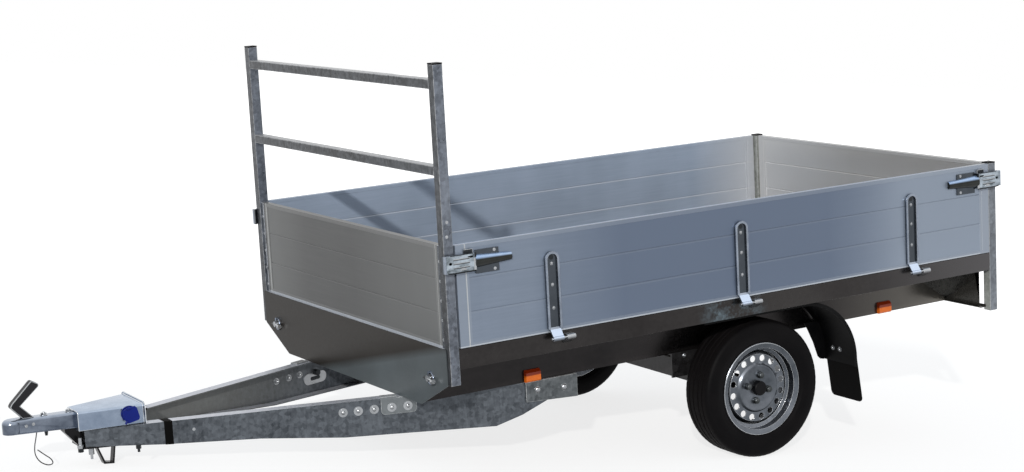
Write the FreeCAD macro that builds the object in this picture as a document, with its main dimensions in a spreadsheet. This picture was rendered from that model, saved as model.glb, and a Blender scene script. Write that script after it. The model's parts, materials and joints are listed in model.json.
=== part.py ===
import FreeCAD, Part
import math
import os
import re
import Sketcher
from FreeCAD import Placement, Rotation, Vector

# Utility trailer: flat bed with drop sides, ladder rack, V drawbar and one rubber sprung axle.
# Lengths are millimetres. X runs forward to the coupling, Y to the trailer's left, Z up.
# Each piece is laid out with the bed level and heights counted from under the wheels.
# The whole trailer is then tipped forward about its axle until the front foot meets the floor.

sizes = {
    # bed, rails and floor
    "bed_front": 1362.0,
    "bed_rear": 1145.0,
    "bed_half": 788.0,
    "rail_top": 659.0,
    "rail_height": 73.0,
    "rail_flange": 45.0,
    "rail_wall": 3.0,
    "rear_rail_depth": 32.0,
    "floor_thick": 12.0,
    "seat_gap": 0.3,
    "swing_gap": 5.5,
    "board_lift": 2.0,
    # drop boards
    "board_height": 366.0,
    "board_thick": 25.0,
    "board_out": 3.0,
    "board_inset": 8.5,
    "board_edge": 14.0,
    "panel_recess": 1.0,
    "joint_width": 5.0,
    "joint_depth": 2.0,
    "trim_length": 50.0,
    "trim_seam": 12.0,
    # corner posts and ladder rack
    "post_size": 38.0,
    "post_wall": 3.0,
    "post_out": 1.0,
    "front_post_drop": 129.0,
    "rear_post_drop": 244.0,
    "rear_post_rise": 368.0,
    "rack_height": 1001.0,
    "rack_rail_height": 34.0,
    "rack_top_gap": 85.5,
    "rack_spacing": 301.5,
    "cap_rise": 5.0,
    "channel_depth": 20.0,
    "channel_wall": 3.0,
    # chassis members
    "member_half": 540.0,
    "member_height": 159.0,
    "member_flange": 50.0,
    "member_wall": 4.0,
    "member_cut_length": 105.0,
    "member_cut_low": 18.0,
    "member_cut_high": 89.0,
    "bearer_width": 50.0,
    "bearer_wall": 3.0,
    "bearer_first": 1100.0,
    "bearer_pitch": 380.0,
    "bearer_rear": 520.0,
    "short_bearer_place": 90.0,
    "rear_web_gap": 24.0,
    "rear_web_flange": 30.0,
    "tie_height": 12.0,
    "tie_lap": 12.0,
    "sheet_wall": 3.0,
    "sheet_drop": 131.0,
    "sheet_side_inset": 24.0,
    "sheet_low_margin": 20.0,
    "sheet_lip": 32.0,
    # drawbar beams, one upright C section each side
    "beam_front": 2490.0,
    "beam_front_half": 50.0,
    "beam_bend": 975.0,
    "beam_beyond": 5.0,
    "beam_wall": 4.0,
    "beam_flange": 45.0,
    "beam_nose_depth": 61.0,
    "beam_first_bend": 2230.0,
    "beam_first_depth": 83.0,
    "beam_second_bend": 1900.0,
    "beam_second_depth": 101.0,
    "beam_third_bend": 1610.0,
    "beam_third_depth": 132.0,
    "beam_heel_length": 96.0,
    "beam_heel_depth": 152.0,
    "beam_tail_length": 121.0,
    "beam_tail_depth": 79.0,
    "hanger_front_inset": 17.0,
    "hanger_over": 122.0,
    "hanger_front_depth": 75.0,
    "hanger_rear_depth": 89.0,
    "hanger_wall": 6.0,
    "cleat_tab_length": 58.0,
    "cleat_length": 126.0,
    "cleat_depth": 62.0,
    "cleat_wall": 5.0,
    "cleat_round": 16.0,
    "cleat_tab_gap": 20.0,
    "cleat_tab_width": 36.0,
    # coupling head on the drawbar's nose
    "head_front": 2512.0,
    "head_front_margin": 6.0,
    "head_rear": 2280.0,
    "head_rear_half": 104.0,
    "head_height": 71.0,
    "head_wall": 4.0,
    "head_round": 10.0,
    "head_plate_over": 14.0,
    "head_plate_rise": 9.0,
    "head_plate_round": 24.0,
    "coupling_low": 10.0,
    "coupling_height": 55.0,
    "coupling_half": 28.0,
    "coupling_round": 9.0,
    "coupling_lip": 4.0,
    "ball_place": 2733.0,
    "nose_radius": 34.0,
    "nose_low": 24.0,
    "nose_height": 49.0,
    "nose_round": 16.0,
    "socket_radius": 25.5,
    "socket_depth": 36.0,
    "handle_half": 15.0,
    "handle_foot": 2654.0,
    "handle_reach": 84.0,
    "handle_height": 132.0,
    "handle_round": 9.0,
    "plug_place": 2335.0,
    "plug_radius": 29.0,
    "plug_depth": 24.0,
    "plug_flange": 6.0,
    "plug_lid_radius": 25.0,
    "plug_round": 4.0,
    "plug_height": 42.0,
    # front foot, a bent flat bar under the drawbar's nose
    "foot_rear": 2377.0,
    "foot_length": 38.0,
    "foot_low": 277.0,
    "foot_half": 15.0,
    "foot_wall": 6.0,
    "foot_front_lean": 30.0,
    "foot_rear_lean": 11.0,
    "foot_plate_rear": 2345.0,
    "foot_plate_over": 12.0,
    "foot_plate_half": 62.0,
    "nose_bracket_half": 24.0,
    "nose_bracket_length": 62.0,
    "nose_bracket_depth": 16.0,
    # axle and wheels
    "tyre_radius": 271.0,
    "tyre_half": 78.0,
    "tread_half": 57.0,
    "shoulder_out": 13.0,
    "shoulder_drop": 16.0,
    "wheel_beyond": 122.0,
    "rim_radius": 182.5,
    "rim_half": 68.0,
    "rim_seat": 164.0,
    "rim_well": 146.0,
    "rim_wall": 4.0,
    "rim_lip": 5.0,
    "rim_lean": 6.0,
    "well_half": 26.0,
    "disc_out": 36.0,
    "disc_wall": 4.0,
    "ridge_radius": 87.0,
    "ridge_half": 3.0,
    "ridge_slope": 7.0,
    "ridge_rise": 7.0,
    "vent_circle": 117.0,
    "vent_radius": 12.5,
    "vent_margin": 3.0,
    "stud_circle": 50.0,
    "stud_radius": 10.0,
    "stud_rise": 9.0,
    "cap_radius": 28.5,
    "cap_out": 22.0,
    "cap_round": 7.0,
    "wheel_stand": 8.0,
    "hub_radius": 64.0,
    "hub_flange": 12.0,
    "barrel_radius": 32.0,
    "barrel_length": 110.0,
    "vent_count": 16.0,
    "stub_radius": 17.0,
    "axle_place": 150.0,
    "axle_height": 333.0,
    "axle_size": 76.0,
    "arm_beyond": 11.0,
    "arm_thick": 25.0,
    "arm_width": 64.0,
    "bracket_front": 287.0,
    "bracket_rear": 20.0,
    "bracket_wall": 8.0,
    "bracket_under": 3.0,
    # mudguards and flaps
    "guard_beyond": 20.0,
    "guard_width": 200.0,
    "guard_reach": 453.0,
    "guard_curve": 260.0,
    "guard_end_drop": 296.0,
    "guard_front": 285.0,
    "guard_wall": 3.0,
    "guard_lip": 14.0,
    "flap_lap": 36.0,
    "flap_length": 190.0,
    "flap_lean": 7.5,
    "flap_thick": 4.0,
    "flap_inset": 6.0,
    "flap_round": 20.0,
    # hinges
    "hinge_out": 24.0,
    "hinge_drop": 19.0,
    "hinge_front": 969.0,
    "hinge_pitch": 845.0,
    "tail_hinge_half": 480.0,
    "strap_width": 58.0,
    "strap_height": 294.0,
    "strap_depth": 11.0,
    "strap_base": 3.0,
    "strap_wall": 8.0,
    "strap_foot_width": 44.0,
    "strap_foot_wall": 5.0,
    "strap_bend": 34.0,
    "knuckle_radius": 9.0,
    "pin_radius": 4.0,
    "lug_length": 36.0,
    "lug_gap": 6.0,
    "lug_height": 26.0,
    # latches
    "latch_drop": 109.0,
    "latch_height": 84.0,
    "latch_end": 22.0,
    "latch_length": 150.0,
    "latch_base": 95.0,
    "latch_plate": 4.0,
    "lever_root": 22.0,
    "lever_tip": 13.0,
    "lever_length": 152.0,
    "lever_wall": 3.0,
    "lever_rise": 47.0,
    "pivot_place": 104.0,
    "pivot_radius": 5.0,
    "hook_height": 62.0,
    "hook_wall": 4.0,
    "hook_out": 13.0,
    "hook_lift": 2.0,
    "hook_lip": 21.0,
    "rear_hook_over": 12.0,
    # lights, plate, pins
    "marker_length": 64.0,
    "marker_height": 46.0,
    "marker_depth": 16.0,
    "marker_bevel": 5.0,
    "marker_front": 893.0,
    "marker_rear": 814.0,
    "lamp_width": 216.0,
    "lamp_height": 96.0,
    "lamp_depth": 50.0,
    "lamp_inset": 109.0,
    "lamp_round": 12.0,
    "plate_width": 520.0,
    "plate_height": 112.0,
    "plate_wall": 4.0,
    "lock_half": 645.0,
    "lock_drop": 49.0,
    "lock_ring": 22.0,
    "lock_wire": 3.0,
    "lock_pin": 6.0,
    "cut_overrun": 12.0,
    # safety cable
    "cable_radius": 2.0,
}

# Values worked out from the sizes above
derived = {}
derived["board_low"] = sizes["rail_top"] + sizes["board_lift"]
derived["board_top"] = derived["board_low"] + sizes["board_height"]
derived["latch_low"] = derived["board_top"] - sizes["latch_drop"]
derived["lever_place"] = derived["latch_low"] + sizes["lever_rise"]
derived["rail_low"] = sizes["rail_top"] - sizes["rail_height"]
derived["guard_top"] = derived["rail_low"]
derived["guard_low"] = derived["guard_top"] - sizes["guard_end_drop"]
derived["flap_high"] = derived["guard_low"] + sizes["flap_lap"]
derived["lock_height"] = derived["rail_low"] - sizes["lock_drop"]
derived["member_low"] = derived["rail_low"] - sizes["member_height"]
derived["post_outer"] = sizes["bed_half"] - sizes["post_out"]
derived["post_inner"] = derived["post_outer"] - sizes["post_size"]
derived["post_front"] = sizes["bed_front"] + sizes["post_size"]
derived["rear_web_half"] = derived["post_inner"] - sizes["rear_web_gap"]
derived["sheet_side_half"] = derived["post_outer"] - sizes["sheet_side_inset"]
derived["sheet_low_half"] = sizes["member_half"] + sizes["sheet_low_margin"]
derived["beam_half"] = sizes["member_half"] + sizes["beam_beyond"]
derived["wheel_half"] = sizes["member_half"] + sizes["wheel_beyond"]
derived["arm_inner"] = sizes["member_half"] + sizes["arm_beyond"]
derived["guard_inner"] = sizes["member_half"] + sizes["guard_beyond"]
derived["rack_upper"] = sizes["rack_height"] - sizes["rack_top_gap"]
derived["rack_lower"] = derived["rack_upper"] - sizes["rack_spacing"]
derived["lamp_half"] = derived["post_inner"] - sizes["lamp_inset"]
derived["head_front_half"] = sizes["beam_front_half"] + sizes["head_front_margin"]
derived["beam_heel"] = sizes["beam_bend"] + sizes["beam_heel_length"]
derived["beam_tail"] = sizes["beam_bend"] - sizes["beam_tail_length"]
derived["hanger_front"] = sizes["beam_bend"] - sizes["hanger_front_inset"]
derived["hanger_rear"] = derived["beam_tail"] - sizes["hanger_over"]
derived["cleat_front"] = derived["post_front"] + sizes["cleat_tab_gap"] + sizes["cleat_tab_length"]
derived["cleat_rear"] = derived["cleat_front"] - sizes["cleat_length"]
derived["foot_plate_front"] = sizes["beam_front"] + sizes["foot_plate_over"]
derived["bracket_low"] = sizes["axle_height"] - sizes["bracket_under"]
derived["board_face"] = sizes["bed_half"] + sizes["board_out"]
derived["hinge_axis"] = derived["board_face"] + sizes["hinge_out"]
derived["hinge_height"] = sizes["rail_top"] - sizes["hinge_drop"]
derived["tail_face"] = sizes["bed_rear"] + sizes["rear_rail_depth"]
derived["tail_axis"] = derived["tail_face"] + sizes["hinge_out"]
derived["bearer_height"] = sizes["rail_height"] - sizes["floor_thick"]
beam_shift = derived["beam_half"] - sizes["beam_front_half"]
beam_reach = sizes["beam_front"] - sizes["beam_bend"]
derived["beam_turn"] = math.degrees(math.atan2(beam_shift, beam_reach))
derived["beam_cosine"] = math.cos(math.radians(derived["beam_turn"]))
foot_rise = sizes["tyre_radius"] - sizes["foot_low"]
foot_distance = math.hypot(sizes["foot_rear"], foot_rise)
rest = math.asin(sizes["tyre_radius"] / foot_distance) - math.atan2(foot_rise, sizes["foot_rear"])
derived["rest_angle"] = math.degrees(rest)
derived["foot_slope"] = sizes["foot_length"] * math.tan(rest)
derived["rest_back"] = sizes["tyre_radius"] * math.sin(rest)
derived["rest_lift"] = sizes["tyre_radius"] * (1.0 - math.cos(rest))
derived["rest_shift"] = 0.0
derived["front_board_back"] = derived["post_front"] - sizes["board_inset"] - sizes["board_thick"]
hook_root = sizes["latch_length"] - sizes["pivot_place"] + sizes["latch_end"] + sizes["swing_gap"]
derived["wrap_hook_span"] = hook_root + sizes["post_size"] + sizes["swing_gap"] + sizes["hook_wall"]
derived["flat_hook_span"] = hook_root + sizes["rear_hook_over"]
derived["flat_hook_lift"] = sizes["post_size"] - sizes["rear_rail_depth"] + sizes["swing_gap"]
heel_share = sizes["beam_tail_length"] / (sizes["beam_tail_length"] + sizes["beam_heel_length"])
heel_fall = sizes["beam_heel_depth"] - sizes["beam_tail_depth"]
derived["beam_bend_depth"] = sizes["beam_tail_depth"] + heel_share * heel_fall
nose_run = sizes["beam_front"] - sizes["beam_first_bend"]
nose_fall = (sizes["beam_first_depth"] - sizes["beam_nose_depth"]) / nose_run
for end, spot in (("front", derived["foot_plate_front"]), ("rear", sizes["foot_plate_rear"])):
    depth = sizes["beam_nose_depth"] + nose_fall * (sizes["beam_front"] - spot)
    derived["foot_plate_%s_low" % end] = derived["member_low"] - depth - sizes["foot_wall"]
head_run = sizes["head_front"] - sizes["head_rear"]
head_flare = (sizes["head_rear_half"] - derived["head_front_half"]) / head_run
derived["head_lean"] = math.degrees(math.atan(head_flare))
derived["head_side"] = derived["head_front_half"] + head_flare * (sizes["head_front"] - sizes["plug_place"])
coupling_top = derived["member_low"] + sizes["coupling_low"] + sizes["coupling_height"]
nose_top = derived["member_low"] + sizes["nose_low"] + sizes["nose_height"]
top_rise = (nose_top - coupling_top) / (sizes["ball_place"] - sizes["head_front"])
bottom_rise = (sizes["nose_low"] - sizes["coupling_low"]) / (sizes["ball_place"] - sizes["head_front"])
bracket_span = sizes["nose_bracket_length"] - (sizes["head_front"] - sizes["beam_front"])
derived["nose_bracket_top"] = derived["member_low"] + sizes["coupling_low"] + bottom_rise * bracket_span
derived["handle_low"] = coupling_top + top_rise * (sizes["handle_foot"] - sizes["head_front"])
handle_toe = sizes["handle_foot"] + sizes["handle_reach"] / 2
derived["handle_toe_low"] = coupling_top + top_rise * (handle_toe - sizes["head_front"])
arm_rise = sizes["axle_height"] - sizes["tyre_radius"]
derived["arm_run"] = math.hypot(sizes["axle_place"], arm_rise)
derived["arm_lean"] = math.degrees(math.atan2(arm_rise, sizes["axle_place"]))
derived["disc_face"] = sizes["disc_out"] + sizes["disc_wall"]
derived["stub_reach"] = derived["wheel_half"] + sizes["disc_out"] - sizes["seat_gap"] - derived["arm_inner"]
derived["flange_foot"] = sizes["rim_half"] - sizes["rim_lean"] - sizes["rim_wall"]
flange_slope = (sizes["rim_radius"] - sizes["rim_lip"] / 2 - sizes["rim_seat"]) / sizes["rim_lean"]
derived["tyre_side"] = sizes["rim_seat"] + (sizes["tyre_half"] - derived["flange_foot"]) * flange_slope

doc = FreeCAD.newDocument("UtilityTrailer")
sheet = doc.addObject("Spreadsheet::Sheet", "Sizes")
values = dict(sizes)
values.update(derived)
cells = {}
for row, (alias, value) in enumerate(values.items(), 1):
    cells[alias] = "B%d" % row
    sheet.set("A%d" % row, alias)
    sheet.set(cells[alias], repr(float(value)))
    sheet.setAlias(cells[alias], alias)
doc.recompute()

word = re.compile(r"[a-z]+(?:_[a-z]+)+")


def linked(text):
    # A size's name in a formula points at its cell
    return word.sub(lambda found: "Sizes." + found.group(0), str(text))


pieces = []


def place(item, x="0", y="0", z="0"):
    for letter, text in (("x", x), ("y", y), ("z", z)):
        if text != "0":
            item.setExpression("Placement.Base." + letter, linked(text))
    return item


def brick(name, x, y, z, length, width, height):
    # Box from its low corner and its three sizes
    item = doc.addObject("Part::Box", name)
    item.setExpression("Length", linked(length))
    item.setExpression("Width", linked(width))
    item.setExpression("Height", linked(height))
    return place(item, x, y, z)


turns = {
    "X": Rotation(Vector(0, 1, 0), 90),
    "Y": Rotation(Vector(1, 0, 0), -90),
    "Z": Rotation(),
}


def rod(name, way, x, y, z, radius, length):
    # Round bar that starts at a point and runs along an axis
    item = doc.addObject("Part::Cylinder", name)
    item.Placement = Placement(Vector(), turns[way])
    item.setExpression("Radius", linked(radius))
    item.setExpression("Height", linked(length))
    return place(item, x, y, z)


def outline(body, plane, points, offset="0"):
    # Closed sketch of straight lines, each corner held by its two distances from the origin
    item = body.newObject("Sketcher::SketchObject", body.Name + "Sketch")
    base = [side for side in body.Origin.OriginFeatures if side.Role == plane][0]
    item.AttachmentSupport = [(base, "")]
    item.MapMode = "FlatFace"
    if offset != "0":
        item.setExpression("AttachmentOffset.Base.z", linked(offset))
    count = len(points)
    ring = [Vector(math.cos(math.tau * k / count), math.sin(math.tau * k / count), 0) for k in range(count)]
    for k in range(count):
        item.addGeometry(Part.LineSegment(ring[k], ring[(k + 1) % count]), False)
    for k in range(count):
        item.addConstraint(Sketcher.Constraint("Coincident", k, 2, (k + 1) % count, 1))
    for k, point in enumerate(points):
        for kind, first, text in (("DistanceX", ring[k].x, point[0]), ("DistanceY", ring[k].y, point[1])):
            index = item.addConstraint(Sketcher.Constraint(kind, -1, 1, k, 1, first))
            if text == "0":
                item.setDatum(index, 0.0)
            else:
                item.setExpression("Constraints[%d]" % index, linked(text))
    return item


def slab(name, plane, points, offset, thick):
    # Straight pad of a closed outline, from its offset along the plane's normal
    body = doc.addObject("PartDesign::Body", name)
    sketch = outline(body, plane, points, offset)
    pad = body.newObject("PartDesign::Pad", name + "Pad")
    pad.Profile = sketch
    pad.setExpression("Length", linked(thick))
    return body


def eased(body, name, radius, spots):
    # Rounds the straight or round edges whose middles lie nearest to the given spots
    doc.recompute()
    base = body.Tip
    edges = base.Shape.Edges
    chosen = []
    for spot in spots:
        reaches = [edge.CenterOfMass.distanceToPoint(spot) for edge in edges]
        chosen.append("Edge%d" % (reaches.index(min(reaches)) + 1))
    fillet = body.newObject("PartDesign::Fillet", body.Name + name)
    fillet.Base = (base, chosen)
    fillet.setExpression("Radius", linked(radius))
    return body


def spun(name, points):
    # Ring turned about the wheel's own axle line, its outline given as (along, out)
    body = doc.addObject("PartDesign::Body", name)
    sketch = outline(body, "YZ_Plane", points)
    turn = body.newObject("PartDesign::Revolution", name + "Turn")
    turn.Profile = sketch
    turn.ReferenceAxis = (sketch, ["H_Axis"])
    turn.Angle = 360
    return body


def joined(name, items):
    item = doc.addObject("Part::MultiFuse", name)
    item.Shapes = items
    return item


def grouped(name, items):
    item = doc.addObject("Part::Compound", name)
    item.Links = items
    return item


def carved(name, base, tool):
    item = doc.addObject("Part::Cut", name)
    item.Base = base
    item.Tool = tool
    return item


def mirrored(name, source):
    # Right-hand copy across the trailer's middle plane
    item = doc.addObject("Part::Mirroring", name)
    item.Source = source
    item.Normal = Vector(0, 1, 0)
    return item


def tipped(item, label):
    # Finished piece, laid out level, tipped to the trailer's resting angle
    item.Label = label
    item.Placement = Placement(Vector(), Rotation(Vector(0, 1, 0), 1))
    item.setExpression("Placement.Rotation.Angle", linked("rest_angle"))
    item.setExpression("Placement.Base.x", linked("rest_shift - rest_back"))
    item.setExpression("Placement.Base.z", linked("rest_lift"))
    pieces.append(item)
    return item


def kept(item, label):
    item.Label = label
    pieces.append(item)
    return item


def pair(label, item):
    # A left piece and its mirror image as two nodes
    left = tipped(item, label + "_left")
    kept(mirrored(item.Name + "Right", left), label + "_right")
    return left


def both(name, items):
    # Left pieces and their mirror images in one node
    left = items[0] if len(items) == 1 else grouped(name + "Left", items)
    return grouped(name, [left, mirrored(name + "Right", left)])


# Floor and bearers
long_half = "(bed_half - rail_flange - seat_gap)"
floor = brick("Floor", "seat_gap - bed_rear", "-" + long_half, "rail_top - floor_thick",
              "bed_front + bed_rear - 2 * seat_gap", "2 * " + long_half, "floor_thick")
tipped(grouped("FloorPanel", [floor]), "floor_panel")


def tube(name, x, half):
    outer = brick(name + "Outer", x, "-" + half, "rail_low", "bearer_width", "2 * " + half, "bearer_height")
    inner = brick(name + "Inner", x + " + bearer_wall", "-%s - cut_overrun" % half, "rail_low + bearer_wall",
                  "bearer_width - 2 * bearer_wall", "2 * %s + 2 * cut_overrun" % half,
                  "bearer_height - 2 * bearer_wall")
    return carved(name, outer, inner)


bearers = [tube("BearerOne", "bearer_first", long_half),
           tube("BearerTwo", "bearer_first - bearer_pitch", long_half),
           tube("BearerThree", "bearer_first - 2 * bearer_pitch", long_half),
           tube("BearerShort", "-short_bearer_place", "member_half"),
           tube("BearerFour", "-bearer_rear", long_half),
           tube("BearerFive", "-bearer_rear - bearer_pitch", long_half)]
tipped(grouped("Bearers", bearers), "floor_bearers")

# Side rails, an open folded section along each side, and the two end rails
rail_outer = brick("RailOuter", "-bed_rear", "bed_half - rail_flange", "rail_low",
                   "bed_front + bed_rear", "rail_flange", "rail_height")
rail_inner = brick("RailInner", "-bed_rear - cut_overrun", "bed_half - rail_flange - cut_overrun",
                   "rail_low + rail_wall",
                   "bed_front + bed_rear + 2 * cut_overrun", "rail_flange - rail_wall + cut_overrun",
                   "rail_height - 2 * rail_wall")
pair("side_rail", carved("SideRail", rail_outer, rail_inner))
front_outer = brick("FrontRailOuter", "bed_front", "-post_inner", "rail_low",
                    "post_size", "2 * post_inner", "rail_height")
front_inner = brick("FrontRailInner", "bed_front - cut_overrun", "-post_inner - cut_overrun",
                    "rail_low + rail_wall",
                    "post_size - rail_wall + cut_overrun", "2 * (post_inner + cut_overrun)",
                    "rail_height - 2 * rail_wall")
rear_outer = brick("RearRailOuter", "-tail_face", "-post_inner", "rail_low",
                   "rear_rail_depth", "2 * post_inner", "rail_height")
rear_inner = brick("RearRailInner", "rail_wall - tail_face", "-post_inner - cut_overrun",
                   "rail_low + rail_wall",
                   "rear_rail_depth - rail_wall + cut_overrun", "2 * (post_inner + cut_overrun)",
                   "rail_height - 2 * rail_wall")
tipped(grouped("EndRails", [carved("FrontRail", front_outer, front_inner),
                            carved("RearRail", rear_outer, rear_inner)]), "end_rails")

# Chassis members: upright web with two flanges, cut away at the rear
cut_place = "(member_cut_length + rear_web_flange - bed_rear)"
member_web = slab("MemberWeb", "XZ_Plane",
                  [("post_front", "member_low"), ("post_front", "rail_low"), (cut_place, "rail_low"),
                   (cut_place, "member_low + member_cut_high"),
                   ("rear_web_flange - bed_rear", "member_low + member_cut_low"),
                   ("rear_web_flange - bed_rear", "member_low")],
                  "-member_half", "member_wall")
member_bottom = brick("MemberBottom", "rear_web_flange - bed_rear", "member_half - member_flange",
                      "member_low",
                      "post_front + bed_rear - rear_web_flange", "member_flange", "member_wall")
member_top = brick("MemberTop", cut_place, "member_half - member_flange", "rail_low - member_wall",
                   "post_front - " + cut_place, "member_flange", "member_wall")
pair("chassis_member", joined("ChassisMember", [member_web, member_bottom, member_top]))

# Rear cross-member, an open section with its web at the back
cross_outer = brick("CrossOuter", "-bed_rear", "-rear_web_half", "member_low",
                    "rear_web_flange", "2 * rear_web_half", "member_height")
cross_inner = brick("CrossInner", "member_wall - bed_rear", "-rear_web_half - cut_overrun",
                    "member_low + member_wall",
                    "rear_web_flange", "2 * (rear_web_half + cut_overrun)", "member_height - 2 * member_wall")
tie = brick("Tie", "-bed_rear", "rear_web_half - tie_lap", "member_low", "rear_web_flange",
            "rear_web_gap + 2 * tie_lap", "member_wall")
tie_lip = brick("TieLip", "-bed_rear", "rear_web_half - tie_lap", "member_low", "member_wall",
                "rear_web_gap + 2 * tie_lap", "tie_height")
ties = joined("TieLeft", [tie, tie_lip])
tipped(joined("RearFrame", [carved("Crossmember", cross_outer, cross_inner), ties,
                            mirrored("TieRight", ties)]),
       "rear_crossmember")

# Front sheet with chamfered lower corners and a lip folded back under the chassis
sheet_plate = slab("SheetPlate", "YZ_Plane",
                   [("-sheet_side_half", "rail_top"), ("sheet_side_half", "rail_top"),
                    ("sheet_side_half", "rail_top - sheet_drop"), ("sheet_low_half", "member_low"),
                    ("-sheet_low_half", "member_low"), ("-sheet_side_half", "rail_top - sheet_drop")],
                   "post_front", "sheet_wall")
sheet_lip = brick("SheetLip", "post_front - sheet_lip", "member_flange + seat_gap - member_half",
                  "member_low",
                  "sheet_lip", "2 * (member_half - member_flange - seat_gap)", "sheet_wall")
tipped(joined("FrontSheet", [sheet_plate, sheet_lip]), "front_sheet")


def along(place_text):
    # Distance along the slanted beam, counted back from its front end
    return "((%s - beam_front) / beam_cosine)" % place_text


# Drawbar beams: deep C section that tapers to the nose, its web outside
low_line = [(along("beam_front"), "member_low - beam_nose_depth"),
            (along("beam_first_bend"), "member_low - beam_first_depth"),
            (along("beam_second_bend"), "member_low - beam_second_depth"),
            (along("beam_third_bend"), "member_low - beam_third_depth"),
            (along("beam_heel"), "member_low - beam_heel_depth"),
            (along("beam_bend"), "member_low - beam_bend_depth")]
slant_web = slab("SlantWeb", "XZ_Plane",
                 low_line + [(along("beam_bend"), "member_low"), (along("beam_front"), "member_low")],
                 "0", "beam_wall")
slant_low = slab("SlantLow", "XZ_Plane",
                 low_line + [(x, z + " + beam_wall") for x, z in reversed(low_line)], "0", "beam_flange")
slant_top = slab("SlantTop", "XZ_Plane",
                 [(along("beam_bend"), "member_low"), (along("beam_front"), "member_low"),
                  (along("beam_front"), "member_low - beam_wall"),
                  (along("beam_bend"), "member_low - beam_wall")],
                 "0", "beam_flange")
slant = joined("Slant", [slant_web, slant_low, slant_top])
slant.Placement = Placement(Vector(), Rotation(Vector(0, 0, 1), -1))
slant.setExpression("Placement.Rotation.Angle", linked("-beam_turn"))
place(slant, "beam_front", "beam_front_half")
tail_web = slab("TailWeb", "XZ_Plane",
                [("beam_bend", "member_low"), ("beam_bend", "member_low - beam_bend_depth"),
                 ("beam_tail", "member_low - beam_tail_depth"), ("beam_tail", "member_low")],
                "-beam_half", "beam_wall")
tail_top = brick("TailTop", "beam_tail", "beam_half - beam_flange", "member_low - beam_wall",
                 "beam_bend - beam_tail", "beam_flange", "beam_wall")
pair("drawbar_beam", joined("DrawbarBeam", [slant, tail_web, tail_top]))

# Brackets that bolt the drawbar to the chassis
hanger_plate = slab("HangerPlate", "XZ_Plane",
                    [("hanger_front", "member_low"), ("hanger_front", "member_low - hanger_front_depth"),
                     ("hanger_rear", "member_low - hanger_rear_depth"), ("hanger_rear", "member_low")],
                    "-beam_half - hanger_wall", "hanger_wall")
hanger_top = brick("HangerTop", "hanger_rear", "member_half - member_flange", "member_low - hanger_wall",
                   "beam_tail - seat_gap - hanger_rear", "beam_half - member_half + member_flange",
                   "hanger_wall")
cleat_plate = slab("CleatPlate", "XZ_Plane",
                   [(along("cleat_rear"), "member_low"), (along("cleat_rear"), "member_low - cleat_depth"),
                    (along("cleat_front"), "member_low - cleat_depth"), (along("cleat_front"), "member_low")],
                   "-cleat_wall", "cleat_wall")
cleat_bottom = values["member_low"] - values["cleat_depth"]
eased(cleat_plate, "Round", "cleat_round",
      [Vector((values[edge] - values["beam_front"]) / values["beam_cosine"], values["cleat_wall"] / 2,
              cleat_bottom)
       for edge in ("cleat_rear", "cleat_front")])
cleat_tab = brick("CleatTab", along("(post_front + cleat_tab_gap)"), "cleat_wall - cleat_tab_width",
                  "member_low",
                  "cleat_tab_length / beam_cosine", "cleat_tab_width", "cleat_wall")
cleat_side = brick("CleatSide", along("(post_front + cleat_tab_gap)"), "0", "member_low - cleat_depth / 2",
                   "cleat_tab_length / beam_cosine", "cleat_wall",
                   "cleat_depth / 2 + cleat_wall")
cleat = joined("Cleat", [cleat_plate, cleat_tab, cleat_side])
cleat.Placement = Placement(Vector(), Rotation(Vector(0, 0, 1), -1))
cleat.setExpression("Placement.Rotation.Angle", linked("-beam_turn"))
place(cleat, "beam_front", "beam_front_half")
tipped(both("Brackets", [joined("Hanger", [hanger_plate, hanger_top]), cleat]), "drawbar_brackets")

# Head box over the nose of the drawbar, open below and behind
head_outer = slab("HeadOuter", "XY_Plane",
                  [("head_front", "head_front_half"), ("head_rear", "head_rear_half"),
                   ("head_rear", "-head_rear_half"), ("head_front", "-head_front_half")],
                  "member_low", "head_height")
head_top = values["member_low"] + values["head_height"]
head_middle = (values["head_front"] + values["head_rear"]) / 2
head_side_middle = (values["head_front_half"] + values["head_rear_half"]) / 2
eased(head_outer, "Round", "head_round", [Vector(head_middle, head_side_middle, head_top),
                                          Vector(head_middle, -head_side_middle, head_top)])
head_inner = slab("HeadInner", "XY_Plane",
                  [("head_front - head_wall", "head_front_half - head_wall"),
                   ("head_rear - cut_overrun", "head_rear_half - head_wall"),
                   ("head_rear - cut_overrun", "head_wall - head_rear_half"),
                   ("head_front - head_wall", "head_wall - head_front_half")],
                  "member_low - cut_overrun", "head_height - head_wall + cut_overrun")
head_plate = slab("HeadPlate", "YZ_Plane",
                  [("head_rear_half + head_plate_over", "member_low"),
                   ("head_rear_half + head_plate_over", "member_low + head_height + head_plate_rise"),
                   ("-head_rear_half - head_plate_over", "member_low + head_height + head_plate_rise"),
                   ("-head_rear_half - head_plate_over", "member_low")],
                  "head_rear", "head_wall")
plate_edge = values["head_rear_half"] + values["head_plate_over"]
plate_middle = values["head_rear"] + values["head_wall"] / 2
eased(head_plate, "Round", "head_plate_round",
      [Vector(plate_middle, side * plate_edge, head_top + values["head_plate_rise"]) for side in (1, -1)])
tipped(joined("HeadBox", [carved("Head", head_outer, head_inner), head_plate]), "coupling_box")

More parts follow.
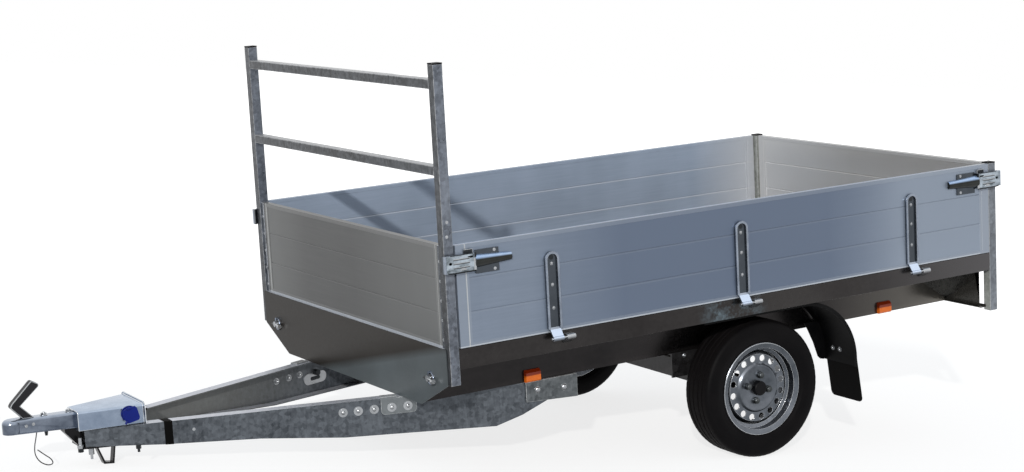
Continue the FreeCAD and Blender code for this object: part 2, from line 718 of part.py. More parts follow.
# Ball coupling with an open socket below its nose
coupling_bar = slab("CouplingBar", "XZ_Plane",
                    [("head_front", "member_low + coupling_low"),
                     ("ball_place", "member_low + nose_low"),
                     ("ball_place", "member_low + nose_low + nose_height"),
                     ("head_front", "member_low + coupling_low + coupling_height")],
                    "-coupling_half", "2 * coupling_half")
bar_top = (coupling_top + nose_top) / 2
bar_middle = (values["head_front"] + values["ball_place"]) / 2
eased(coupling_bar, "Round", "coupling_round",
      [Vector(bar_middle, side * values["coupling_half"], bar_top) for side in (1, -1)])
coupling_lip = slab("CouplingLip", "XZ_Plane",
                    [("head_front", "member_low + coupling_low"), ("ball_place", "member_low + nose_low"),
                     ("ball_place", "member_low + nose_low + coupling_lip"),
                     ("head_front", "member_low + coupling_low + coupling_lip")],
                    "-nose_radius", "2 * nose_radius")
coupling_nose = spun("CouplingNose", [("0", "0"), ("nose_height", "0"), ("nose_height", "nose_radius"),
                                      ("0", "nose_radius")])
eased(coupling_nose, "Round", "nose_round", [Vector(0, values["nose_height"], 0)])
coupling_nose.Placement = Placement(Vector(), Rotation(Vector(1, 0, 0), 90))
place(coupling_nose, "ball_place", "0", "member_low + nose_low")
socket = rod("Socket", "Z", "ball_place", "0", "member_low + nose_low - cut_overrun",
             "socket_radius", "socket_depth + cut_overrun")
tipped(carved("Coupling", joined("CouplingSolid", [coupling_bar, coupling_lip, coupling_nose]), socket),
       "coupling_body")

# Raised handle on the coupling
handle_shares = ((1.0, 0.36), (0.9, 0.46), (0.0, 1.0), (-0.38, 0.86), (0.55, 0.36))
handle = slab("Handle", "XZ_Plane",
              [("handle_foot", "handle_low"), ("handle_foot + handle_reach / 2", "handle_toe_low")]
              + [("handle_foot + handle_reach * %r" % run, "handle_low + handle_height * %r" % rise)
                 for run, rise in handle_shares],
              "-handle_half", "2 * handle_half")
eased(handle, "Round", "handle_round",
      [Vector(values["handle_foot"] + run * values["handle_reach"], 0,
              values["handle_low"] + rise * values["handle_height"]) for run, rise in handle_shares[:4]])
tipped(handle, "coupling_handle")

# Round cover on the left side of the head box
plug_cover = spun("PlugCover", [("0", "0"), ("plug_depth", "0"), ("plug_depth", "plug_lid_radius"),
                                ("plug_flange", "plug_lid_radius"), ("plug_flange", "plug_radius"),
                                ("0", "plug_radius")])
eased(plug_cover, "Round", "plug_round", [Vector(0, values["plug_depth"], 0)])
plug_cover.Placement = Placement(Vector(), Rotation(Vector(0, 0, 1), -1))
plug_cover.setExpression("Placement.Rotation.Angle", linked("-head_lean"))
place(plug_cover, "plug_place", "head_side", "member_low + plug_height")
tipped(grouped("PlugCap", [plug_cover]), "plug_cap")

# Front foot: bent flat bar under the beams' joining plate, and the nose bracket that carries the coupling
foot_bar = slab("FootBar", "XZ_Plane",
                [("foot_rear", "foot_low"), ("foot_rear + foot_length", "foot_low + foot_slope"),
                 ("foot_rear + foot_length + foot_front_lean", "foot_plate_front_low + foot_wall / 2"),
                 ("foot_rear + foot_length + foot_front_lean - foot_wall",
                  "foot_plate_front_low + foot_wall / 2"),
                 ("foot_rear + foot_length - foot_wall", "foot_low + foot_slope + foot_wall"),
                 ("foot_rear + foot_wall", "foot_low + foot_wall"),
                 ("foot_rear + foot_wall - foot_rear_lean", "foot_plate_rear_low + foot_wall / 2"),
                 ("foot_rear - foot_rear_lean", "foot_plate_rear_low + foot_wall / 2")],
                "-foot_half", "2 * foot_half")
foot_plate = slab("FootPlate", "XZ_Plane",
                  [("foot_plate_rear", "foot_plate_rear_low"),
                   ("foot_plate_front", "foot_plate_front_low"),
                   ("foot_plate_front", "foot_plate_front_low + foot_wall"),
                   ("foot_plate_rear", "foot_plate_rear_low + foot_wall")],
                  "-foot_plate_half", "2 * foot_plate_half")
nose_bracket = slab("NoseBracket", "XZ_Plane",
                    [("beam_front + seat_gap", "foot_plate_front_low + foot_wall / 2"),
                     ("beam_front + foot_plate_over", "foot_plate_front_low + foot_wall / 2"),
                     ("beam_front + nose_bracket_length", "nose_bracket_top - seat_gap - nose_bracket_depth"),
                     ("beam_front + nose_bracket_length", "nose_bracket_top - seat_gap"),
                     ("head_front + seat_gap", "member_low + coupling_low - seat_gap"),
                     ("head_front + seat_gap", "member_low - seat_gap"),
                     ("beam_front + seat_gap", "member_low - seat_gap")],
                    "-nose_bracket_half", "2 * nose_bracket_half")
tipped(joined("Foot", [foot_bar, foot_plate, nose_bracket]), "foot_strap")

# Axle: square beam with its mounting brackets, and a trailing arm with a stub at each end
beam_core = brick("BeamCore", "axle_place - axle_size / 2", "-arm_inner", "axle_height - axle_size / 2",
                  "axle_size", "2 * arm_inner", "axle_size")
axle_plate = brick("AxlePlate", "bracket_rear", "member_half - bracket_wall", "bracket_low",
                   "bracket_front - bracket_rear", "bracket_wall", "member_low - bracket_low")
axle_seat = brick("AxleSeat", "bracket_rear", "member_half - member_flange", "member_low - bracket_wall",
                  "bracket_front - bracket_rear", "member_flange", "bracket_wall")
axle_left = joined("AxleLeft", [axle_plate, axle_seat])
tipped(joined("Axle", [beam_core, axle_left, mirrored("AxleRight", axle_left)]), "axle_beam")
arm_bar = brick("ArmBar", "-arm_width / 2", "0", "-arm_width / 2", "arm_run + arm_width", "arm_thick",
                "arm_width")
stub = rod("Stub", "Y", "0", "arm_thick - cut_overrun", "0", "stub_radius",
           "stub_reach - arm_thick + cut_overrun")
arm = joined("Arm", [arm_bar, stub])
arm.Placement = Placement(Vector(), Rotation(Vector(0, 1, 0), -1))
arm.setExpression("Placement.Rotation.Angle", linked("-arm_lean"))
place(arm, "0", "arm_inner", "tyre_radius")
tipped(both("Arms", [arm]), "axle_arms")

# Mudguards: flat under the bed, rounded down behind the wheel, with a lip along each edge


def guard_strip(name, depth, offset, width):
    # Strip along the mudguard's curve, as deep as its skin or its lips
    body = slab(name, "XZ_Plane",
                [("guard_front", "guard_top"), ("-guard_reach", "guard_top"), ("-guard_reach", "guard_low"),
                 ("%s - guard_reach" % depth, "guard_low"),
                 ("%s - guard_reach" % depth, "guard_top - " + depth),
                 ("guard_front", "guard_top - " + depth)],
                offset, width)
    doc.recompute()
    middle = body.Tip.Shape.BoundBox.Center.y
    for end, inset, radius in (("Outside", 0.0, "guard_curve"),
                               ("Inside", values[depth], "guard_curve - " + depth)):
        eased(body, end, radius, [Vector(inset - values["guard_reach"], middle, values["guard_top"] - inset)])
    return body


guard_skin = guard_strip("GuardSkin", "guard_wall", "-guard_inner - guard_width", "guard_width")
guard_lips = [guard_strip("GuardOuterLip", "guard_lip", "-guard_inner - guard_width", "guard_wall"),
              guard_strip("GuardInnerLip", "guard_lip", "-guard_inner - guard_wall", "guard_wall")]
guard = joined("Guard", [guard_skin] + guard_lips)
tipped(both("Guards", [guard]), "mudguards")
flap = slab("Flap", "YZ_Plane",
            [("flap_inset", "0"), ("flap_inset", "-flap_length"),
             ("guard_width - flap_inset", "-flap_length"), ("guard_width - flap_inset", "0")],
            "-flap_thick", "flap_thick")
eased(flap, "Round", "flap_round",
      [Vector(-values["flap_thick"] / 2, edge, -values["flap_length"])
       for edge in (values["flap_inset"], values["guard_width"] - values["flap_inset"])])
flap.Placement = Placement(Vector(), Rotation(Vector(0, 1, 0), 1))
flap.setExpression("Placement.Rotation.Angle", linked("flap_lean"))
place(flap, "-guard_reach", "guard_inner", "flap_high")
tipped(both("Flaps", [flap]), "mud_flaps")

# Side markers on the chassis members
markers = []
for name, text in (("MarkerFront", "marker_front"), ("MarkerRear", "-marker_rear")):
    marker = slab(name, "YZ_Plane",
                  [("0", "0"), ("marker_depth - marker_bevel", "0"), ("marker_depth", "marker_bevel"),
                   ("marker_depth", "marker_height - 2 * marker_bevel"), ("marker_bevel", "marker_height"),
                   ("0", "marker_height")],
                  "0", "marker_length")
    markers.append(place(marker, text, "member_half", "member_low"))
tipped(both("Markers", markers), "side_markers")

# Corner posts of square tube, the ladder rack's rails and the posts' caps


def square_tube(name, x, y, z, size, wall, height):
    outer = brick(name + "Outer", x, y, z, size, size, height)
    inner = brick(name + "Inner", "%s + %s" % (x, wall), "%s + %s" % (y, wall), "%s - cut_overrun" % z,
                  "%s - 2 * %s" % (size, wall), "%s - 2 * %s" % (size, wall), "%s + 2 * cut_overrun" % height)
    return carved(name, outer, inner)


rack_post = square_tube("RackPost", "bed_front", "post_inner", "rail_top - front_post_drop", "post_size",
                        "post_wall", "(front_post_drop + rack_height)")
tipped(both("RackPosts", [rack_post]), "rack_posts")
rack_rails = [brick("RackTop", "bed_front", "-post_inner", "rail_top + rack_upper", "post_size",
                    "2 * post_inner", "rack_rail_height"),
              brick("RackMiddle", "bed_front", "-post_inner", "rail_top + rack_lower", "post_size",
                    "2 * post_inner", "rack_rail_height")]
tipped(grouped("RackRails", rack_rails), "rack_rails")
rear_post = square_tube("RearPost", "-bed_rear - post_size", "post_inner", "rail_top - rear_post_drop",
                        "post_size", "post_wall", "(rear_post_drop + rear_post_rise)")
tipped(both("RearPosts", [rear_post]), "rear_posts")
caps = [brick("FrontCap", "bed_front", "post_inner", "rail_top + rack_height", "post_size",
              "post_size", "cap_rise"),
        brick("RearCap", "-bed_rear - post_size", "post_inner", "rail_top + rear_post_rise", "post_size",
              "post_size", "cap_rise")]
tipped(both("PostCaps", caps), "post_caps")

# Boards: hollow aluminium section with a strip along each long edge, two joints in the panel and an end trim


def board(name, length, height):
    # The outer face lies at zero and the board runs along X from zero
    panel = [("0", "0"), ("0", "board_edge"), ("-panel_recess", "board_edge")]
    for share in joint_shares:
        joint = "(%s) * %r" % (height, share)
        panel += [("-panel_recess", joint + " - joint_width / 2"), ("-panel_recess - joint_depth", joint),
                  ("-panel_recess", joint + " + joint_width / 2")]
    panel += [("-panel_recess", height + " - board_edge"), ("0", height + " - board_edge"), ("0", height)]
    back = [("-board_thick" if y == "0" else "-board_thick + " + y[1:].replace(" - ", " + "), z)
            for y, z in reversed(panel)]
    strips = [slab(name + "Panel", "YZ_Plane", panel + back, "0", length)]
    for end, base, sign in (("Front", "0", "+"), ("Rear", length, "-")):
        edge = [("0", "0"), ("trim_length - trim_seam - joint_width / 2", "0"),
                ("trim_length - trim_seam", "-joint_depth"),
                ("trim_length - trim_seam + joint_width / 2", "0"), ("trim_length", "0")]
        far = [(x, "-board_thick" if y == "0" else "joint_depth - board_thick") for x, y in reversed(edge)]
        trim = [("%s %s (%s)" % (base, sign, x), y) for x, y in edge + far]
        strips.append(slab(name + end, "XY_Plane", trim, "0", height))
    return joined(name, strips)


joint_shares = (0.34, 0.67)
channel_room = "(channel_wall + seat_gap)"
front_board = board("FrontBoard", "2 * (post_inner - %s)" % channel_room, "(board_height + board_lift)")
front_board.Placement = Placement(Vector(), Rotation(Vector(0, 0, 1), -90))
place(front_board, "front_board_back + board_thick", "post_inner - " + channel_room, "rail_top")
tipped(grouped("FrontBoardSet", [front_board]), "front_board")
channel_back = "(front_board_back - seat_gap)"
channel_front = "(front_board_back + board_thick + seat_gap)"
channel = slab("Channel", "XY_Plane",
               [(channel_back, "post_inner - channel_depth"), (channel_back, "post_inner - channel_wall"),
                (channel_front, "post_inner - channel_wall"), (channel_front, "post_inner - channel_depth"),
                (channel_front + " + channel_wall", "post_inner - channel_depth"),
                (channel_front + " + channel_wall", "post_inner"),
                (channel_back + " - channel_wall", "post_inner"),
                (channel_back + " - channel_wall", "post_inner - channel_depth")],
               "rail_top", "board_height + board_lift")
tipped(both("Channels", [channel]), "board_channels")
side_board = board("SideBoard", "(bed_front + bed_rear - 2 * swing_gap)", "board_height")
place(side_board, "swing_gap - bed_rear", "board_face", "board_low")
pair("side_board", grouped("SideBoardSet", [side_board]))
back_turn = Rotation(Vector(0, 0, 1), 90)
tailgate = board("Tailgate", "2 * (post_inner - swing_gap)", "board_height")
tailgate.Placement = Placement(Vector(), back_turn)
place(tailgate, "-tail_face", "swing_gap - post_inner", "board_low")
tipped(grouped("TailgateSet", [tailgate]), "tailgate")

# Hinge straps with their knuckles, on the boards


def rounded_bar(name, y, z, half, length, depth):
    # Upright bar with a round top, seen from the outside
    bar = brick(name + "Bar", "-" + half, y, z, "2 * " + half, depth, "%s - %s" % (length, half))
    return joined(name, [bar, rod(name + "End", "Y", "0", y, "%s + %s - %s" % (z, length, half), half,
                                  depth)])


def strap(name, face, axis):
    # Channel up the board with a round top, a foot bent out to the pin, and a knuckle round it
    low = "(hinge_height + strap_bend)"
    outer = rounded_bar(name + "Outer", face, low, "(strap_width / 2)",
                        "(board_low + strap_height - %s)" % low, "strap_depth")
    inner = rounded_bar(name + "Inner", face + " + strap_base", low + " - cut_overrun",
                        "(strap_width / 2 - strap_wall)",
                        "(board_low + strap_height - strap_wall - %s + cut_overrun)" % low, "strap_depth")
    foot = slab(name + "Foot", "YZ_Plane",
                [(face, low + " + strap_foot_wall"),
                 (face + " + strap_foot_wall", low + " + strap_foot_wall"),
                 (axis + " + knuckle_radius", "hinge_height"), (axis, "hinge_height"), (face, low)],
                "-strap_foot_width / 2", "strap_foot_width")
    knuckle = rod(name + "Knuckle", "X", "-strap_foot_width / 2", axis, "hinge_height", "knuckle_radius",
                  "strap_foot_width")
    bore = rod(name + "Bore", "X", "-strap_width / 2 - cut_overrun", axis, "hinge_height",
               "pin_radius + seat_gap",
               "strap_width + 2 * cut_overrun")
    solid = joined(name + "Solid", [carved(name + "Channel", outer, inner), foot, knuckle])
    return carved(name, solid, bore)


def lug(name, wall, axis):
    # Eye on the rail behind a strap, with the pin that runs into the strap's knuckle
    start = "-strap_width / 2 - lug_gap - lug_length"
    block = slab(name + "Block", "YZ_Plane",
                 [(wall, "hinge_height + knuckle_radius"), (axis, "hinge_height + knuckle_radius"),
                  (axis, "hinge_height - knuckle_radius"), (wall, "hinge_height - lug_height")],
                 start, "lug_length")
    eye = rod(name + "Eye", "X", start, axis, "hinge_height", "knuckle_radius", "lug_length")
    pin = rod(name + "Pin", "X", start, axis, "hinge_height", "pin_radius",
              "strap_width + lug_gap + lug_length")
    return joined(name, [block, eye, pin])


side_places = ["hinge_front", "hinge_front - hinge_pitch", "hinge_front - 2 * hinge_pitch"]
side_straps = [place(strap("SideStrap%d" % k, "board_face", "hinge_axis"), text)
               for k, text in enumerate(side_places)]
side_lugs = [place(lug("SideLug%d" % k, "bed_half", "hinge_axis"), text)
             for k, text in enumerate(side_places)]
tail_straps = []
tail_lugs = []
for k, text in enumerate(["-tail_hinge_half", "0", "tail_hinge_half"]):
    tail_strap = strap("TailStrap%d" % k, "tail_face", "tail_axis")
    tail_strap.Placement = Placement(Vector(), back_turn)
    tail_straps.append(place(tail_strap, "0", text))
    tail_lug = lug("TailLug%d" % k, "tail_face", "tail_axis")
    tail_lug.Placement = Placement(Vector(), back_turn)
    tail_lugs.append(place(tail_lug, "0", text))

# Over-centre latches near the boards' ends


def cone(name, x, y, z, first, last, length):
    item = doc.addObject("Part::Cone", name)
    item.Placement = Placement(Vector(), turns["X"])
    item.setExpression("Radius1", linked(first))
    item.setExpression("Radius2", linked(last))
    item.setExpression("Height", linked(length))
    return place(item, x, y, z)


def latch(name, wraps):
    # Laid out with its hook towards +X: base plate, tapering half-round lever, pivot and folded hook
    low = "lever_place - hook_height / 2"
    span = "wrap_hook_span" if wraps else "flat_hook_span"
    lift = "hook_lift" if wraps else "flat_hook_lift"
    base = brick(name + "Base", "0", "0", "latch_low", "latch_base", "latch_plate", "latch_height")
    spine = brick(name + "Spine", "0", "0", low, "latch_length", "latch_plate", "hook_height")
    grip = cone(name + "Grip", "pivot_place - lever_length", "0", "lever_place", "lever_tip", "lever_root",
                "lever_length")
    room = cone(name + "Room", "pivot_place - lever_length + lever_wall", "0", "lever_place",
                "lever_tip - lever_wall", "lever_root - lever_wall", "lever_length")
    behind = brick(name + "Behind", "pivot_place - lever_length - cut_overrun", "-2 * lever_root",
                   "lever_place - 2 * lever_root", "lever_length + 2 * cut_overrun",
                   "2 * lever_root + latch_plate / 2", "4 * lever_root")
    lever = carved(name + "Lever", carved(name + "Shell", grip, room), behind)
    pivot = rod(name + "Pivot", "Z", "pivot_place", "hook_out", low, "pivot_radius", "hook_height")
    web = brick(name + "Web", "pivot_place", "hook_out", low, span, "hook_wall", "hook_height")
    under = brick(name + "Under", "pivot_place", lift, low, span, "hook_out - " + lift, "hook_wall")
    over = brick(name + "Over", "pivot_place", lift, "lever_place + hook_height / 2 - hook_wall", span,
                 "hook_out - " + lift, "hook_wall")
    parts = [base, spine, lever, pivot, web, under, over]
    if wraps:
        parts.append(brick(name + "Lip", "pivot_place + wrap_hook_span - hook_wall", "hook_out - hook_lip",
                           low, "hook_wall", "hook_lip + hook_wall", "hook_height"))
    return joined(name, parts)


def turned_about(name, source):
    # The same latch with its hook towards -X
    item = doc.addObject("Part::Mirroring", name)
    item.Source = source
    item.Normal = Vector(1, 0, 0)
    return item


front_latch = place(latch("FrontLatch", True), "bed_front - swing_gap - latch_end - latch_length",
                    "board_face")
rear_latch = grouped("RearLatch", [turned_about("RearLatchTurn", latch("RearLatchPlain", True))])
place(rear_latch, "swing_gap - bed_rear + latch_end + latch_length", "board_face")
pair("side_fittings", grouped("SideFittings", side_straps + [front_latch, rear_latch]))
tail_latch = grouped("TailLatch", [turned_about("TailLatchTurn", latch("TailLatchPlain", False))])
tail_latch.Placement = Placement(Vector(), back_turn)
place(tail_latch, "-tail_face", "swing_gap + latch_end + latch_length - post_inner")
tail_latches = [tail_latch, mirrored("TailLatchLeft", tail_latch)]
tipped(grouped("TailFittings", tail_straps + tail_latches), "tailgate_fittings")
tipped(grouped("Lugs", [both("SideLugs", side_lugs)] + tail_lugs), "hinge_lugs")

# Locking pins with rings on the front sheet
ring = doc.addObject("Part::Torus", "LockRing")
ring.Placement = Placement(Vector(), turns["X"])
ring.setExpression("Radius1", linked("lock_ring"))
ring.setExpression("Radius2", linked("lock_wire"))
place(ring, "post_front + sheet_wall + lock_wire", "lock_half", "lock_height")
lock_pin = rod("LockPin", "X", "post_front + sheet_wall", "lock_half", "lock_height + lock_ring", "lock_pin",
               "2 * lock_pin")
tipped(both("LockPins", [joined("Lock", [ring, lock_pin])]), "lock_pins")

# Rear lamps and the blank number plate's holder
lamp = slab("Lamp", "YZ_Plane",
            [("lamp_half - lamp_width", "0"), ("lamp_half", "0"), ("lamp_half", "lamp_height"),
             ("lamp_half - lamp_width", "lamp_height")],
            "-bed_rear - lamp_depth", "lamp_depth")
eased(lamp, "Round", "lamp_round",
      [Vector(-values["bed_rear"] - values["lamp_depth"] / 2, values["lamp_half"] - inset, height)
       for inset in (0, values["lamp_width"]) for height in (0, values["lamp_height"])])
place(lamp, "0", "0", "member_low + member_wall")
tipped(both("Lamps", [lamp]), "rear_lamps")
plate = brick("PlateHolder", "-bed_rear - plate_wall", "-plate_width / 2", "member_low + member_wall",
              "plate_wall", "plate_width", "plate_height")
tipped(grouped("PlateSet", [plate]), "plate_holder")

# Wheels, each turned about its own axle line and then set at the trailer's side
tyre = spun("Tyre", [("flange_foot - seat_gap", "rim_seat + seat_gap"), ("tyre_half", "tyre_side"),
                     ("tread_half + shoulder_out", "tyre_radius - shoulder_drop"),
                     ("tread_half", "tyre_radius"), ("-tread_half", "tyre_radius"),
                     ("-tread_half - shoulder_out", "tyre_radius - shoulder_drop"),
                     ("-tyre_half", "tyre_side"), ("seat_gap - flange_foot", "rim_seat + seat_gap")])
tyre.Label = "TyreSection"
flange = [("well_half - rim_wall", "rim_well + rim_wall"), ("well_half", "rim_seat"),
          ("flange_foot", "rim_seat"), ("rim_half - rim_wall", "rim_radius - rim_lip / 2"),
          ("rim_half - rim_wall / 2", "rim_radius"), ("rim_half", "rim_radius - rim_lip / 2"),
          ("flange_foot + rim_wall", "rim_seat - rim_wall"), ("well_half + rim_wall", "rim_seat - rim_wall"),
          ("well_half", "rim_well")]
rim = spun("Rim", flange + [("-(%s)" % along_text, out) for along_text, out in reversed(flange)])
disc = spun("Disc", [("0", "rim_well + rim_wall / 2"),
                     ("disc_out - disc_wall", "vent_circle + vent_radius + vent_margin"),
                     ("disc_out - disc_wall", "ridge_radius + ridge_half + ridge_slope"),
                     ("disc_out + ridge_rise - disc_wall", "ridge_radius + ridge_half"),
                     ("disc_out + ridge_rise - disc_wall", "ridge_radius - ridge_half"),
                     ("disc_out", "ridge_radius - ridge_half - ridge_slope"),
                     ("disc_out", "cap_radius + seat_gap"), ("disc_face", "cap_radius + seat_gap"),
                     ("disc_face", "ridge_radius - ridge_half - ridge_slope"),
                     ("disc_out + ridge_rise", "ridge_radius - ridge_half"),
                     ("disc_out + ridge_rise", "ridge_radius + ridge_half"),
                     ("disc_out", "ridge_radius + ridge_half + ridge_slope"),
                     ("disc_out", "vent_circle + vent_radius + vent_margin"),
                     ("disc_wall", "rim_well + rim_wall / 2")])
vent_sketch = disc.newObject("Sketcher::SketchObject", "VentSketch")
vent_plane = [side for side in disc.Origin.OriginFeatures if side.Role == "XZ_Plane"][0]
vent_sketch.AttachmentSupport = [(vent_plane, "")]
vent_sketch.MapMode = "FlatFace"
vent_sketch.addGeometry(Part.Circle(Vector(1, 0, 0), Vector(0, 0, 1), 1), False)
vent_sketch.setExpression("Constraints[%d]" % vent_sketch.addConstraint(
    Sketcher.Constraint("DistanceX", -1, 1, 0, 3, 1.0)), linked("vent_circle"))
vent_sketch.addConstraint(Sketcher.Constraint("PointOnObject", 0, 3, -1))
vent_sketch.setExpression("Constraints[%d]" % vent_sketch.addConstraint(
    Sketcher.Constraint("Radius", 0, 1.0)), linked("vent_radius"))
doc.recompute()
vent = disc.newObject("PartDesign::Pocket", "Vent")
vent.Profile = vent_sketch
vent.Type = 1
vent.Midplane = True
vents = disc.newObject("PartDesign::PolarPattern", "Vents")
vents.Originals = [vent]
vents.Axis = (vent_sketch, ["N_Axis"])
vents.Angle = 360
vents.setExpression("Occurrences", linked("vent_count"))
disc.Tip = vents
studs = []
for x_sign, z_sign in ((1, 0), (0, 1), (-1, 0), (0, -1)):
    studs.append(rod("Stud%d" % len(studs), "Y", "%d * stud_circle" % x_sign, "disc_out",
                     "%d * stud_circle" % z_sign, "stud_radius", "disc_wall + stud_rise"))
hub = spun("Hub", [("disc_face + cap_out", "0"), ("disc_face + cap_out", "cap_radius"),
                   ("disc_out", "cap_radius"), ("disc_out", "hub_radius"),
                   ("disc_out - hub_flange", "hub_radius"),
                   ("disc_out - hub_flange", "barrel_radius"), ("disc_out - barrel_length", "barrel_radius"),
                   ("disc_out - barrel_length", "stub_radius + seat_gap"),
                   ("disc_out", "stub_radius + seat_gap"), ("disc_out", "0")])
eased(hub, "Round", "cap_round", [Vector(0, values["disc_face"] + values["cap_out"], 0)])
for label, item in (("tyre", grouped("TyreSet", [tyre])), ("wheel_rim", joined("Wheel", [rim, disc] + studs)),
                    ("wheel_hub", grouped("HubSet", [hub]))):
    item.Placement = Placement(Vector(), Rotation(Vector(0, 1, 0), -1))
    item.setExpression("Placement.Rotation.Angle", linked("-wheel_stand"))
    place(item, "rest_shift", "wheel_half", "tyre_radius")
    kept(item, label + "_left")
    kept(mirrored(label.title().replace("_", "") + "Right", item), label + "_right")

# Safety cable that hangs in a loop under the coupling
cable_radius = sizes["cable_radius"]
cable_points = [
    (2645.0, 0.0, 445.0), (2651.0, 1.0, 420.0), (2659.0, 2.0, 393.0), (2662.0, 3.0, 362.0),
    (2648.0, 5.0, 332.0), (2620.0, 7.0, 314.0), (2598.0, 6.0, 316.0), (2603.0, 3.0, 334.0),
    (2627.0, -1.0, 354.0), (2648.0, -4.0, 374.0),
]


trim_share = 0.45


def cord(points, radius):
    # Straight runs joined by tangent arcs, then swept with a round section
    spots = [Vector(*point) for point in points]
    edges = []
    start = spots[0]
    for before, corner, after in zip(spots, spots[1:], spots[2:]):
        back = before - corner
        ahead = after - corner
        trim = trim_share * min(back.Length, ahead.Length)
        half = (math.pi - back.getAngle(ahead)) / 2
        bend = trim / math.tan(half)
        enter = corner + Vector(back).normalize() * trim
        leave = corner + Vector(ahead).normalize() * trim
        middle = (enter + leave) * 0.5
        inward = (middle - corner).normalize()
        centre = corner + inward * math.hypot(bend, trim)
        edges.append(Part.LineSegment(start, enter).toShape())
        edges.append(Part.Arc(enter, centre - inward * bend, leave).toShape())
        print("cable radius %.1f" % bend)
        start = leave
    edges.append(Part.LineSegment(start, spots[-1]).toShape())
    path = Part.Wire(edges)
    section = Part.Wire(Part.makeCircle(radius, spots[0], spots[1] - spots[0]))
    tube_solid = path.makePipeShell([section], True, True)
    print("cable length %.1f volume share %.4f" % (
        path.Length, tube_solid.Volume / (math.pi * radius * radius * path.Length)))
    return tube_solid


cable = doc.addObject("Part::Feature", "SafetyCable")
cable.Shape = cord(cable_points, cable_radius)
tipped(cable, "safety_cable")
doc.recompute()

# The origin goes under the middle of the trailer's length, the hanging cable left out
reach = [piece.Shape.BoundBox for piece in pieces if piece is not cable]
middle_shift = -(max(low.XMax for low in reach) + min(low.XMin for low in reach)) / 2
sheet.set(cells["rest_shift"], repr(middle_shift))
doc.recompute()

faults = [item.Label for item in doc.Objects if "Invalid" in item.State or "Error" in item.State]
for piece in pieces:
    if piece.Shape.isNull() or not piece.Shape.isValid() or piece.Shape.Volume <= 0:
        faults.append(piece.Label)
if faults:
    raise SystemExit("failed: " + ", ".join(faults))
os.makedirs("parts", exist_ok=True)
for piece in pieces:
    piece.Shape.exportStep("parts/%s.step" % piece.Label)
print("%d pieces, resting angle %.3f, shift %.3f" % (len(pieces), derived["rest_angle"], middle_shift))
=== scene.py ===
import functools
import json
import math

import bmesh
import bpy
from mathutils import Matrix, Vector
from mathutils.bvhtree import BVHTree


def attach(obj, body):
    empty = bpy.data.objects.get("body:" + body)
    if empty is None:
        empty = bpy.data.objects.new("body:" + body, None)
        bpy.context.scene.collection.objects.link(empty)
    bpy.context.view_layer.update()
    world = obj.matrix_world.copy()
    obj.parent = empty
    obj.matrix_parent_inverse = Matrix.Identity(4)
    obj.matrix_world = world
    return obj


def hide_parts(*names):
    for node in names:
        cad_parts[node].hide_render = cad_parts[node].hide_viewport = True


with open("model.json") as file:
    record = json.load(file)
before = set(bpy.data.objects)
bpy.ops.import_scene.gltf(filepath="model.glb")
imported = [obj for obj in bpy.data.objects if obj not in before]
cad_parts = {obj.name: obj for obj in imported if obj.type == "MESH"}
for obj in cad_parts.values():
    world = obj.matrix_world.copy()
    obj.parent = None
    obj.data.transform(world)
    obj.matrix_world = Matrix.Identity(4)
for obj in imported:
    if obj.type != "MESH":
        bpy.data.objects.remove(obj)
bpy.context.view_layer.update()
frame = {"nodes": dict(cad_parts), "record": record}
nodes = frame["nodes"]
record = frame["record"]
print("frame loaded")

# The trailer rests nose-down: places below are given with the bed level and then tipped
joints = {joint["name"]: joint for joint in record["behaviour"]["joints"]}
restAxis = joints["side_left_drop"]["axis"]
restAngle = math.atan2(restAxis[2], -restAxis[0])
axle = Vector(joints["wheel_left_turn"]["pos_m"])
tip = (Matrix.Translation(Vector((axle.x, 0, axle.z))) @ Matrix.Rotation(restAngle, 4, "Y")
       @ Matrix.Translation(Vector((0, 0, -axle.z))))
untip = tip.inverted()
tipTurn = tip.to_3x3()
forward, upright = tipTurn @ Vector((1, 0, 0)), tipTurn @ Vector((0, 0, 1))
sides = (("left", 1), ("right", -1))
materials = {}


def level(x, y, z):
    return tip @ Vector((x, y, z))


def feed(value, socket):
    # A wire is linked; a colour gets its full cover, and any other value goes in as it is
    if isinstance(value, Wire):
        value.tree.links.new(value.socket, socket)
    elif isinstance(value, tuple):
        socket.default_value = (value + (1.0,))[:len(socket.default_value)]
    else:
        socket.default_value = value


def newNode(tree, kind, output, *values, **named):
    # Inputs are given by place or by name, and the node's own settings by names in lower case
    made = tree.nodes.new(kind)
    for key, value in named.items():
        if key.islower():
            setattr(made, key, value)
    for key, value in [*enumerate(values), *named.items()]:
        if not str(key).islower():
            feed(value, made.inputs[key])
    return Wire(tree, made.outputs[output])


# A wrapped socket: arithmetic on it makes Math nodes
class Wire:
    def __init__(self, tree, socket):
        self.tree = tree
        self.socket = socket

    def math(self, operation, *others):
        return newNode(self.tree, "ShaderNodeMath", 0, self, *others, operation=operation)

    __add__ = functools.partialmethod(math, "ADD")
    __sub__ = functools.partialmethod(math, "SUBTRACT")
    __mul__ = functools.partialmethod(math, "MULTIPLY")
    __gt__ = functools.partialmethod(math, "GREATER_THAN")
    __lt__ = functools.partialmethod(math, "LESS_THAN")
    most = functools.partialmethod(math, "MAXIMUM")
    size = functools.partialmethod(math, "ABSOLUTE")

    def spread(self, low=0.3, high=0.7, first=0.0, last=1.0):
        return newNode(self.tree, "ShaderNodeMapRange", "Result", self, low, high, first, last)


